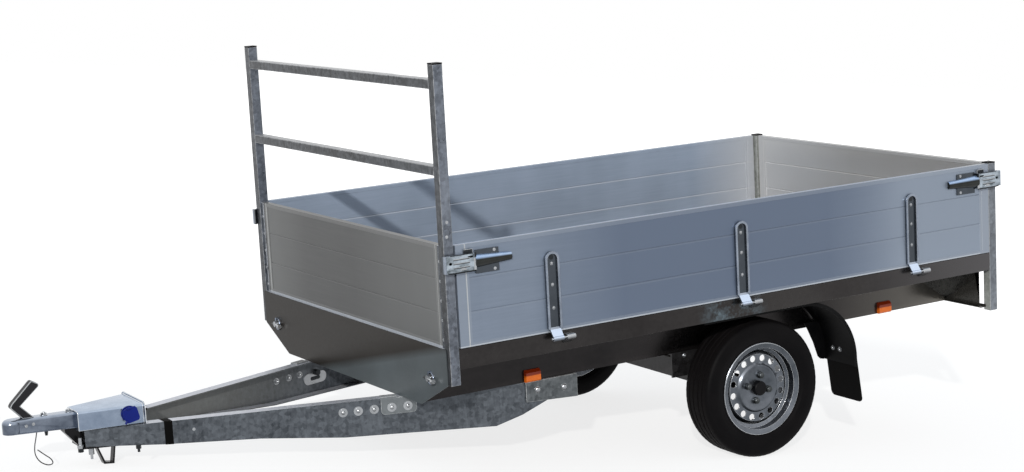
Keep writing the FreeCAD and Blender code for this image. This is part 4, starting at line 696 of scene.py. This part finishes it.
# Bed floor: rows of screws over the bearers
floorScrews = {"rows": (-1.07, -0.69, -0.31, 0.07, 0.45, 0.83, 1.21), "above": 0.9,
               "across": (-0.69, -0.46, -0.23, 0.0, 0.23, 0.46, 0.69)}
fasten("floor_screws", "screw", [drop((x, y, floorScrews["above"]), (0, 0, -1)) for x in floorScrews["rows"]
                                 for y in floorScrews["across"]], "chassis")
print("fasteners made")


# Free shapes for small parts: bent rods, flat plates and blocks gathered in one mesh
class Shapes:
    def __init__(self):
        self.mesh = bmesh.new()

    def ring(self, points):
        return [self.mesh.verts.new(point) for point in points]

    def wall(self, first, second, closed=True):
        for step in range(len(first) if closed else len(first) - 1):
            ahead = (step + 1) % len(first)
            self.mesh.faces.new((first[step], first[ahead], second[ahead], second[step]))

    def rod(self, points, radius, corners=12, last=None):
        rings = []
        side = None
        for index, point in enumerate(points):
            ahead = (points[min(index + 1, len(points) - 1)] - points[max(index - 1, 0)]).normalized()
            side = ahead.orthogonal() if side is None else side - ahead * side.dot(ahead)
            side.normalize()
            other = ahead.cross(side)
            share = index / (len(points) - 1)
            reach = radius + ((radius if last is None else last) - radius) * share
            turns = [2 * math.pi * step / corners for step in range(corners)]
            rings.append(self.ring(point + (side * math.cos(turn) + other * math.sin(turn)) * reach
                                   for turn in turns))
        for first, second in zip(rings, rings[1:]):
            self.wall(first, second)
        self.mesh.faces.new(list(reversed(rings[0])))
        self.mesh.faces.new(rings[-1])

    def plate(self, centre, normal, upward, outline, thickness):
        # The outline is given as (across, up) on the face, seen from outside; the back is sunk a little
        normal = normal.normalized()
        across = upward.cross(normal).normalized()
        upward = normal.cross(across)
        spots = [centre + across * a + upward * b for a, b in outline]
        back = self.ring(spot - normal * 0.0005 for spot in spots)
        front = self.ring(spot + normal * thickness for spot in spots)
        self.mesh.faces.new(front)
        self.mesh.faces.new(list(reversed(back)))
        self.wall(back, front)

    def block(self, corner, first, second, third):
        made = self.ring(corner + first * a + second * b + third * c
                         for a in (0, 1) for b in (0, 1) for c in (0, 1))
        for loop in ((0, 1, 3, 2), (4, 6, 7, 5), (0, 4, 5, 1), (2, 3, 7, 6), (0, 2, 6, 4), (1, 5, 7, 3)):
            self.mesh.faces.new([made[index] for index in loop])

    def done(self, name, body, slot, finish=None, angle=32.0, replaced=()):
        bmesh.ops.recalc_face_normals(self.mesh, faces=self.mesh.faces)
        finished(name, meshOf(self.mesh, name), body, slot, finish, angle, replaced)


def arc(across, height, first, last, steps):
    # Points on part of an oval, with angles in half-turns
    turns = [math.pi * (first + (last - first) * step / steps) for step in range(steps + 1)]
    return [(across * math.cos(turn), height * math.sin(turn)) for turn in turns]


def oval(half, height, steps=10):
    # Rounded plate outline: two half-circles joined by straight edges
    points = [(half - height + a, b) for a, b in arc(height, height, -0.5, 0.5, steps)]
    return points + [(-a, -b) for a, b in points]


def circle(radius, steps=24):
    return arc(radius, radius, 0, 2, steps)[:-1]


# Tyre: a lathe over the real section, grooved tread and notched shoulders
tyre = {
    "segments": 216, "middle": tyreMiddle, "notch": 0.0005, "notchEvery": 3,
    "shoulder": (0.0545, 0.0735, 0.247), "crown": (0.054, 0.268), "cut": 0.0015, "cutEvery": 6,
    "lane": 0.02, "laneShift": (2, 4),
    "section": [(0.06, 0.165), (0.0622, 0.176), (0.064, 0.1835), (0.0668, 0.19), (0.07, 0.196),
                (0.0722, 0.199), (0.0728, 0.202), (0.0752, 0.209), (0.0776, 0.218), (0.0779, 0.226),
                (0.0776, 0.235), (0.0768, 0.243), (0.0756, 0.25), (0.0752, 0.253), (0.0728, 0.259),
                (0.0685, 0.2645), (0.062, 0.2686), (0.056, 0.27), (0.044, 0.2706), (0.0425, 0.264),
                (0.0375, 0.264), (0.036, 0.2702), (0.019, 0.2708), (0.0175, 0.264), (0.0125, 0.264),
                (0.011, 0.2708), (0.0, 0.271)],
}


def makeTyre(name, sign, body, replaced):
    ring = tyre["section"] + [(-y, r) for y, r in reversed(tyre["section"][:-1])]
    inner, outer, above = tyre["shoulder"]
    wide, high = tyre["crown"]
    near, far = tyre["laneShift"]
    tread = Shapes()
    loops = []
    for step in range(tyre["segments"]):
        angle = 2 * math.pi * step / tyre["segments"]
        loop = []
        for y, r in ring:
            reach = r
            if inner < abs(y) < outer and r > above and step % tyre["notchEvery"] == 0:
                reach -= tyre["notch"]
            shift = near if y > tyre["lane"] else far if y < -tyre["lane"] else 0
            if abs(y) < wide and r > high and (step + shift) % tyre["cutEvery"] == 0:
                reach -= tyre["cut"]
            loop.append((axle.x + reach * math.sin(angle), sign * tyre["middle"] + sign * y,
                         axle.z + reach * math.cos(angle)))
        loops.append(tread.ring(loop))
    for one, two in zip(loops, loops[1:] + loops[:1]):
        tread.wall(one, two)
    tread.done(name, body, "tyre_rubber", angle=40.0, replaced=(replaced,))


wheel = {"boltCircle": 0.05, "stand": math.radians(8.0), "studs": 4, "outside": 0.9, "sunk": 0.0075}


def wheelBolts(side, sign):
    # Hexagon heads over the four studs
    spots = []
    for stud in range(wheel["studs"]):
        angle = wheel["stand"] + stud * 2 * math.pi / wheel["studs"]
        start = Vector((axle.x + wheel["boltCircle"] * math.cos(angle), sign * wheel["outside"],
                        axle.z + wheel["boltCircle"] * math.sin(angle)))
        place, normal, index, distance = skin.ray_cast(start, Vector((0, -sign, 0)))
        spots.append((place - Vector((0, sign * wheel["sunk"], 0)), Vector((0, sign, 0))))
    fasten("wheel_bolts_" + side, "wheelBolt", spots, "wheel_" + side, "rim_silver", "rimBolt")


for side, sign in sides:
    makeTyre("tyre_%s_tread" % side, sign, "wheel_" + side, "tyre_" + side)
    wheelBolts(side, sign)
print("wheels made")

latch = {
    "front": 1.1845, "rear": 0.9675, "tail": 0.5715, "face": 0.791, "tailFace": 1.177, "low": 0.918,
    "lever": (-0.0485, 0.1035), "leverRadius": (0.0148, 0.0246), "leverHeight": 0.0455, "leverSteps": (8, 16),
    "leverOut": 0.0012, "leverFlat": 0.98, "reach": 0.222, "tailReach": 0.1865,
    # Each place is along the hook, out from the board and up; below zero it counts back from the hook's end
    "blocks": (("hook", (0.107, 0.0164, 0.0172), (-0.003, 0.0176, 0.0768)),
               ("wire", (0.099, 0.008, 0.062), (0.106, 0.0185, 0.078)),
               ("wire", (0.108, 0.0035, 0.078), (0.142, 0.0065, 0.0905)),
               ("ribs", (0.126, 0.017, 0.062), (-0.03, 0.0186, 0.065)),
               ("ribs", (0.126, 0.017, 0.0475), (-0.03, 0.0186, 0.0501)),
               ("ribs", (0.126, 0.017, 0.033), (-0.03, 0.0186, 0.0352)),
               # The thin dark strips just under the three ribs are painted shade
               ("wire", (0.126, 0.017, 0.0594), (-0.03, 0.0179, 0.062)),
               ("wire", (0.126, 0.017, 0.0449), (-0.03, 0.0179, 0.0475)),
               ("wire", (0.126, 0.017, 0.0304), (-0.03, 0.0179, 0.033))),
    "rods": (("wire", 0.0026, (0.102, 0.0172, 0.015), (-0.03, 0.0172, 0.015), (-0.012, 0.0162, 0.0165),
              (-0.003, 0.0142, 0.022)),
             ("wire", 0.0017, (0.112, 0.0167, 0.077), (-0.02, 0.0167, 0.077)),
             ("ribs", 0.0062, (0.1045, 0.015, 0.018), (0.1045, 0.015, 0.06)),
             ("ribs", 0.0012, (0.107, 0.0062, 0.0905), (0.143, 0.0062, 0.0905)),
             ("ribs", 0.0012, (0.107, 0.0062, 0.078), (0.107, 0.0062, 0.0905))),
    "plates": (("wire", 0.0004, (-0.019, 0.0172, 0.05), oval(0.0062, 0.0048, 6)),
               ("wire", 0.0004, (0.122, 0.0172, 0.066), oval(0.011, 0.0032, 6)),
               ("ribs", 0.0016, (0.152, 0.0172, 0.0225), arc(0.0135, 0.0085, 0, 1, 10))),
    "rivets": ((0.018, 0.004, 0.076), (0.018, 0.004, 0.009)),
    "groups": (("lever", "leverZinc", 40.0), ("hook", "pressedZinc", 32.0), ("wire", "darkZinc", 32.0),
               ("ribs", "fastener", 32.0)),
}


class LatchFrame:
    # Places on one latch: along its hook, out from the board and up from the base plate's foot
    def __init__(self, kind, sign):
        self.kind = kind
        self.sign = sign

    def at(self, along, out, up):
        if self.kind == "tail":
            return level(-latch["tailFace"] - out, self.sign * (latch["tail"] + along), latch["low"] + up)
        x = latch["front"] + along if self.kind == "front" else -latch["rear"] - along
        return level(x, self.sign * (latch["face"] + out), latch["low"] + up)

    def ways(self):
        base = self.at(0, 0, 0)
        return [self.at(*step) - base for step in ((1, 0, 0), (0, 1, 0), (0, 0, 1))]


def leverShell(shapes, at):
    # Half-round lever: rings of points from its tip to the pivot
    lengthSteps, turnSteps = latch["leverSteps"]
    rings = []
    for step in range(lengthSteps + 1):
        along, reach = (first + (last - first) * (step / lengthSteps)
                        for first, last in (latch["lever"], latch["leverRadius"]))
        angles = [math.pi * turn / turnSteps for turn in range(turnSteps + 1)]
        rings.append(shapes.ring(at(along, latch["leverOut"] + reach * math.sin(angle) * latch["leverFlat"],
                                    latch["leverHeight"] + reach * math.cos(angle)) for angle in angles))
    for first, second in zip(rings, rings[1:]):
        shapes.wall(first, second, closed=False)
    shapes.mesh.faces.new(rings[0])
    shapes.mesh.faces.new(list(reversed(rings[-1])))


def latchDetail(name, stands, body):
    groups = {group: Shapes() for group, finish, angle in latch["groups"]}
    rivets = []
    for stand in stands:
        reach = latch["tailReach" if stand.kind == "tail" else "reach"]
        ways = stand.ways()
        leverShell(groups["lever"], stand.at)

        def counted(spot):
            return (spot[0] if spot[0] > 0 else reach + spot[0], *spot[1:])

        for group, *corners in latch["blocks"]:
            first, last = map(counted, corners)
            groups[group].block(stand.at(*first), *(way * (b - a) for way, a, b in zip(ways, first, last)))
        for group, radius, *spots in latch["rods"]:
            groups[group].rod([stand.at(*counted(spot)) for spot in spots], radius)
        for group, thickness, spot, outline in latch["plates"]:
            groups[group].plate(stand.at(*counted(spot)), ways[1], ways[2], outline, thickness)
        rivets += [(stand.at(*spot), ways[1]) for spot in latch["rivets"]]
    for group, finish, angle in latch["groups"]:
        groups[group].done("%s_%s" % (name, group), body, "zinc", finish, angle)
    fasten(name + "_rivets", "screw", rivets, body)


for side, sign in sides:
    latchDetail("latch_" + side, [LatchFrame("front", sign), LatchFrame("rear", sign)], "side_" + side)
latchDetail("latch_tail", [LatchFrame("tail", 1), LatchFrame("tail", -1)], "tailgate")
print("latches detailed")

lock = {
    "middle": (1.4035, 0.645, 0.5385), "radius": 0.0235, "thick": 0.0045, "well": 0.0155, "wellThick": 0.0006,
    # Both ends of each rod from the disc's middle, its radius and its sides
    "bright": (((0.002, 0, 0), (0.018, 0, 0), 0.0115, 20),
               ((0.014, 0, 0), (0.015, 0.034, -0.004), 0.0045, 12),
               ((0.015, 0.03, -0.008), (0.015, 0.044, -0.004), 0.0085, 16)),
    "dark": (((0.012, 0, 0.002), (0.01, -0.036, -0.002), 0.0042, 12),),
}


def lockDiscs():
    x, y, z = lock["middle"]
    bright, dark = Shapes(), Shapes()
    for sign in (1, -1):
        bright.plate(level(x, sign * y, z), forward, upright, circle(lock["radius"]), lock["thick"])
        dark.plate(level(x + lock["thick"], sign * y, z), forward, upright, circle(lock["well"]),
                   lock["wellThick"])
        for group, rods in ((bright, lock["bright"]), (dark, lock["dark"])):
            for first, last, radius, count in rods:
                group.rod([level(x + a, sign * y + b, z + c) for a, b, c in (first, last)], radius, count)
    bright.done("lock_discs", "chassis", "zinc", "fastener")
    dark.done("lock_levers", "chassis", "zinc", "darkZinc")


band = {"ends": (2.196, 2.224), "height": 0.4, "rise": 0.0012, "merge": 0.00002}


def beamBand():
    # Black tape round each drawbar beam: a short length of the beam's own skin, a little proud of it
    tape = Shapes()
    for label in ("drawbar_beam_left", "drawbar_beam_right"):
        part = bmesh.new()
        part.from_mesh(nodes[label].data)
        bmesh.ops.remove_doubles(part, verts=part.verts, dist=band["merge"])
        for x, way in zip(band["ends"], (-forward, forward)):
            bmesh.ops.bisect_plane(part, geom=part.verts[:] + part.edges[:] + part.faces[:],
                                   plane_co=level(x, 0, band["height"]), plane_no=way, clear_outer=True)
        part.normal_update()
        for vertex in part.verts:
            vertex.co += vertex.normal * band["rise"]
        made = {vertex: tape.mesh.verts.new(vertex.co) for vertex in part.verts}
        for face in part.faces:
            tape.mesh.faces.new([made[vertex] for vertex in face.verts])
        part.free()
    tape.done("beam_band", "chassis", "black_rubber")


nose = {
    "slot": ((1.425, 0.352), (1.309, 0.342)), "slotHeight": 0.0225, "slotThick": 0.004,
    "well": (0.026, 0.0075), "wellThick": 0.0006, "stud": (0.024, 0.02, 0.012), "webDot": (2.125, 1.0, 0.388),
    "rivets": ((2.69, 0.474), (2.664, 0.477)), "reach": 0.3,
    # Upright rods: x, y, top, bottom, radius, sides and, where it differs, the radius at the bottom
    "bright": ((2.508, 0.048, 0.402, 0.352, 0.0062, 12), (2.508, 0.048, 0.376, 0.364, 0.0115, 6),
               (2.464, 0.03, 0.352, 0.33, 0.01, 6), (2.464, 0.03, 0.332, 0.313, 0.0048, 12)),
    "dark": ((2.316, 0.11, 0.352, 0.34, 0.0095, 6), (2.316, 0.11, 0.342, 0.328, 0.0048, 12),
             (2.316, -0.11, 0.352, 0.34, 0.0095, 6), (2.316, -0.11, 0.342, 0.328, 0.0048, 12),
             (2.508, 0.048, 0.364, 0.35, 0.01, 6), (2.612, 0.0, 0.44, 0.421, 0.0075, 6, 0.0045),
             (2.525, 0.0, 0.44, 0.421, 0.0075, 6, 0.0045)),
}


def beamFittings():
    bright, dark = Shapes(), Shapes()
    rise, length, radius = nose["stud"]
    for sign in (1, -1):
        (first, normal), (second, normal) = (drop((x, 0, z), (0, sign, 0)) for x, z in nose["slot"])
        centre = (first + second) / 2
        face = centre + normal * nose["slotThick"]
        bright.plate(centre, normal, upright, oval((first - second).length / 2, nose["slotHeight"]),
                     nose["slotThick"])
        # The slot is a thin dark oval on the plate: painted shade where the opening is
        dark.plate(face, normal, upright, oval(*nose["well"]), nose["wellThick"])
        dark.rod([face + upright * rise, face + upright * rise + normal * length], radius, 16)
    for group, rods in ((bright, nose["bright"]), (dark, nose["dark"])):
        for x, y, top, bottom, *rest in rods:
            group.rod([level(x, y, top), level(x, y, bottom)], *rest)
    bright.done("nose_bolts", "chassis", "zinc", "fastener")
    dark.done("nose_nuts", "chassis", "zinc", "darkZinc")
    fasten("web_dots", "screw", onBothSides(*nose["webDot"]), "chassis")
    spots = [spot for x, z in nose["rivets"] for spot in onBothSides(x, nose["reach"], z)]
    fasten("coupling_rivets", "screw", spots, "chassis")


cap = {
    "middle": (2.3356, 0.1185, 0.469), "half": 0.0265, "corner": 0.012, "lean": 14, "steps": 6,
    "thick": 0.0025,
    # Hinge and lifting tab: both ends from the lid's upper or lower edge, the radius and the sides
    "rods": ((1, (-0.016, 0), (0.016, -0.004), 0.0042, 14), (-1, (0.018, 0.006), (0.024, -0.004), 0.004, 12)),
}


def capLid():
    # Rounded square lid with its hinge and a lifting tab over the plug cap
    x, y, z = cap["middle"]
    half, corner, lean = cap["half"], cap["corner"], math.radians(cap["lean"])
    outline = []
    for quarter, (across, up) in enumerate(((1, 1), (-1, 1), (-1, -1), (1, -1))):
        for step in range(cap["steps"] + 1):
            turn = math.radians(quarter * 90 + step * 90 / cap["steps"])
            a = across * (half - corner) + corner * math.cos(turn)
            b = up * (half - corner) + corner * math.sin(turn)
            outline.append((a * math.cos(lean) - b * math.sin(lean), a * math.sin(lean) + b * math.cos(lean)))
    lid = Shapes()
    centre, normal = drop((x, nose["reach"], z), (0, -1, 0))
    lid.plate(centre, normal, upright, outline, cap["thick"])
    for edge, first, last, radius, count in cap["rods"]:
        lid.rod([level(x + a, y, z + edge * half + b) for a, b in (first, last)], radius, count)
    lid.done("cap_lid", "chassis", "blue_plastic")


guard = {
    "bracket": ((-0.345, 0.452), (-0.3606, 0.4292), (-0.3894, 0.3696), (-0.412, 0.3057), (-0.425, 0.294),
                (-0.4525, 0.2915), (-0.4525, 0.452)),
    "inside": 0.5635, "thick": 0.003, "bolts": (0.618, 0.661), "boltStart": (-0.4, 0.345),
}


def guardFittings():
    bracket = Shapes()
    for sign in (1, -1):
        outline = [level(x, sign * guard["inside"], z) for x, z in guard["bracket"]]
        outward = Vector((0, sign * guard["thick"], 0))
        back = bracket.ring(outline)
        front = bracket.ring(spot + outward for spot in outline)
        bracket.mesh.faces.new(back)
        bracket.mesh.faces.new(front)
        bracket.wall(back, front)
    bracket.done("guard_brackets", "chassis", "black_plastic")
    x, z = guard["boltStart"]
    spots = [drop((x, sign * y, z), (-1, 0, 0)) for sign in (1, -1) for y in guard["bolts"]]
    fasten("guard_bolts", "smallHex", spots, "chassis")


post = {
    "channel": (1.5, 0.739), "channelRivets": (0.69, 0.76, 0.83, 0.9, 0.97), "outside": 0.9,
    "rivets": ((1.381, 1.112), (1.3845, 1.061)), "bracketBolt": (0.228, 0.575, 0.41),
    "strapTop": 0.934, "hollow": 0.0095, "hollowThick": 0.0005,
}


def postFittings():
    x, y = post["channel"]
    spots = [drop((x, sign * y, z), (-1, 0, 0)) for sign in (1, -1) for z in post["channelRivets"]]
    spots += [spot for x, z in post["rivets"] for spot in onBothSides(x, post["outside"], z)]
    fasten("post_rivets", "screw", spots, "chassis")
    fasten("bracket_bolts", "smallHex", onBothSides(*post["bracketBolt"]), "chassis")
    # Painted shade: a thin dark disc at the top of each strap's channel, where its hollow lies in shade
    for side, sign in sides:
        shadeDiscs = Shapes()
        for x in strap["places"]:
            place, normal = drop((x, sign * post["outside"], post["strapTop"]), (0, -sign, 0))
            shadeDiscs.plate(place, normal, upright, circle(post["hollow"], 16), post["hollowThick"])
        shadeDiscs.done("strap_shade_discs_" + side, "side_" + side, "zinc", "darkZinc")


for makePiece in (lockDiscs, beamBand, beamFittings, capLid, guardFittings, postFittings):
    makePiece()
print("small fittings made")

# Safety cable: the same chosen points as its tube, in metres, on one smooth curve
cable = {
    "points": [(2.645, 0.0, 0.445), (2.651, 0.001, 0.42), (2.659, 0.002, 0.393), (2.662, 0.003, 0.362),
               (2.648, 0.005, 0.332), (2.62, 0.007, 0.314), (2.598, 0.006, 0.316), (2.603, 0.003, 0.334),
               (2.627, -0.001, 0.354), (2.648, -0.004, 0.374)],
    "radius": 0.002, "lengthSteps": 12, "roundSteps": 3,
}


def makeCable():
    data = bpy.data.curves.new("cable_line", "CURVE")
    data.dimensions = "3D"
    line = data.splines.new("NURBS")
    line.points.add(len(cable["points"]) - 1)
    for point, spot in zip(line.points, cable["points"]):
        point.co = tuple(level(*spot)) + (1.0,)
    line.order_u = 3
    line.use_endpoint_u = True
    line.resolution_u = cable["lengthSteps"]
    data.bevel_depth = cable["radius"]
    data.bevel_resolution = cable["roundSteps"]
    item = linked("cable_line", data)
    data.materials.append(materials["cable_steel"])
    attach(item, "chassis")
    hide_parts("safety_cable")
    tuple(level(*cable["points"][0]))


makeCable()
print("cable made")

# Camera at the photograph's place
view = {
    "place": (4.23271443, 7.07405918, 1.67777337),
    "right": (-0.85541387, 0.51592071, 0.04574855),
    "upward": (-0.01576597, -0.11422266, 0.99333006),
    "forward": (-0.51770508, -0.84898704, -0.10584164),
    "lens": 73.78, "sensor": 36.0,
}
cameraData = bpy.data.cameras.new("camera")
cameraData.sensor_width = view["sensor"]
cameraData.lens = view["lens"]
camera = linked("camera", cameraData)
turn = Matrix((view["right"], view["upward"], [-value for value in view["forward"]])).transposed()
camera.matrix_world = Matrix.Translation(Vector(view["place"])) @ turn.to_4x4()
bpy.context.scene.camera = camera

# Pale floor and backdrop, white to the camera and in reflections, with the trailer's soft shadow kept
studio = {
    "floor": (0.62, 0.62, 0.62), "floorSize": 80.0, "floorRough": 0.95, "whiteShare": 0.6, "floorWhite": 1.32,
    "fade": (3.4, 6.5), "sky": (0.86, 0.93, 1.0), "skyStrength": 0.66,
    "sun": 2.3, "sunWidth": 1.4, "sunWay": (-0.543, -0.726, -0.423), "sunColour": (1.0, 0.975, 0.94),
    "fill": 30.0, "fillPlace": (0.5, 7.0, 4.5), "fillSize": 5.0, "fillAim": (0, 0, 0.6),
}


def seenWhite(tree, plain, out, share, strength):
    # Plain shader for soft light, white for what the camera and the reflections see
    paths = tree.nodes.new("ShaderNodeLightPath")
    straight, glossy, through = (Wire(tree, paths.outputs[label])
                                 for label in ("Is Camera Ray", "Is Glossy Ray", "Is Transmission Ray"))
    kind = "Emission" if out.node.bl_idname == "ShaderNodeOutputMaterial" else "Background"
    white = newNode(tree, "ShaderNode" + kind, 0, (1.0, 1.0, 1.0), strength)
    seen = straight.most(glossy).most(through) * share
    feed(newNode(tree, "ShaderNodeMixShader", 0, seen, Wire(tree, plain), white), out)


def aimed(name, data, way):
    light = linked(name, data)
    light.rotation_euler = way.to_track_quat("-Z", "Y").to_euler()
    return light


def makeStudio():
    bpy.ops.mesh.primitive_plane_add(size=studio["floorSize"], location=(0, 0, 0))
    ground = bpy.context.object
    ground.name = "floorPlane"
    pale = Finish("floorPlane")
    pale.set(Base_Color=studio["floor"], Roughness=studio["floorRough"])
    reach = pale.node("VectorMath", "Value", pale.node("TexCoord", "Object"),
                      operation="LENGTH")
    away = reach.spread(*studio["fade"], studio["whiteShare"], 1.0)
    seenWhite(pale.tree, pale.tree.nodes["Principled BSDF"].outputs[0],
              pale.tree.nodes["Material Output"].inputs[0], away, studio["floorWhite"])
    ground.data.materials.append(pale.material)
    world = bpy.data.worlds.new("studio")
    bpy.context.scene.world = world
    world.use_nodes = True
    background = world.node_tree.nodes["Background"]
    feed(studio["sky"], background.inputs["Color"])
    feed(studio["skyStrength"], background.inputs["Strength"])
    out = world.node_tree.nodes["World Output"].inputs[0]
    seenWhite(world.node_tree, background.outputs[0], out, 1.0, 1.0)
    sun = bpy.data.lights.new("keyLight", "SUN")
    sun.energy = studio["sun"]
    sun.angle = math.radians(studio["sunWidth"])
    sun.color = studio["sunColour"]
    aimed("keyLight", sun, tipTurn @ Vector(studio["sunWay"]))
    fill = bpy.data.lights.new("fillLight", "AREA")
    fill.energy = studio["fill"]
    fill.size = studio["fillSize"]
    place = Vector(studio["fillPlace"])
    aimed("fillLight", fill, Vector(studio["fillAim"]) - place).location = place


makeStudio()
bpy.context.scene.view_settings.view_transform = "Standard"
print("studio made")
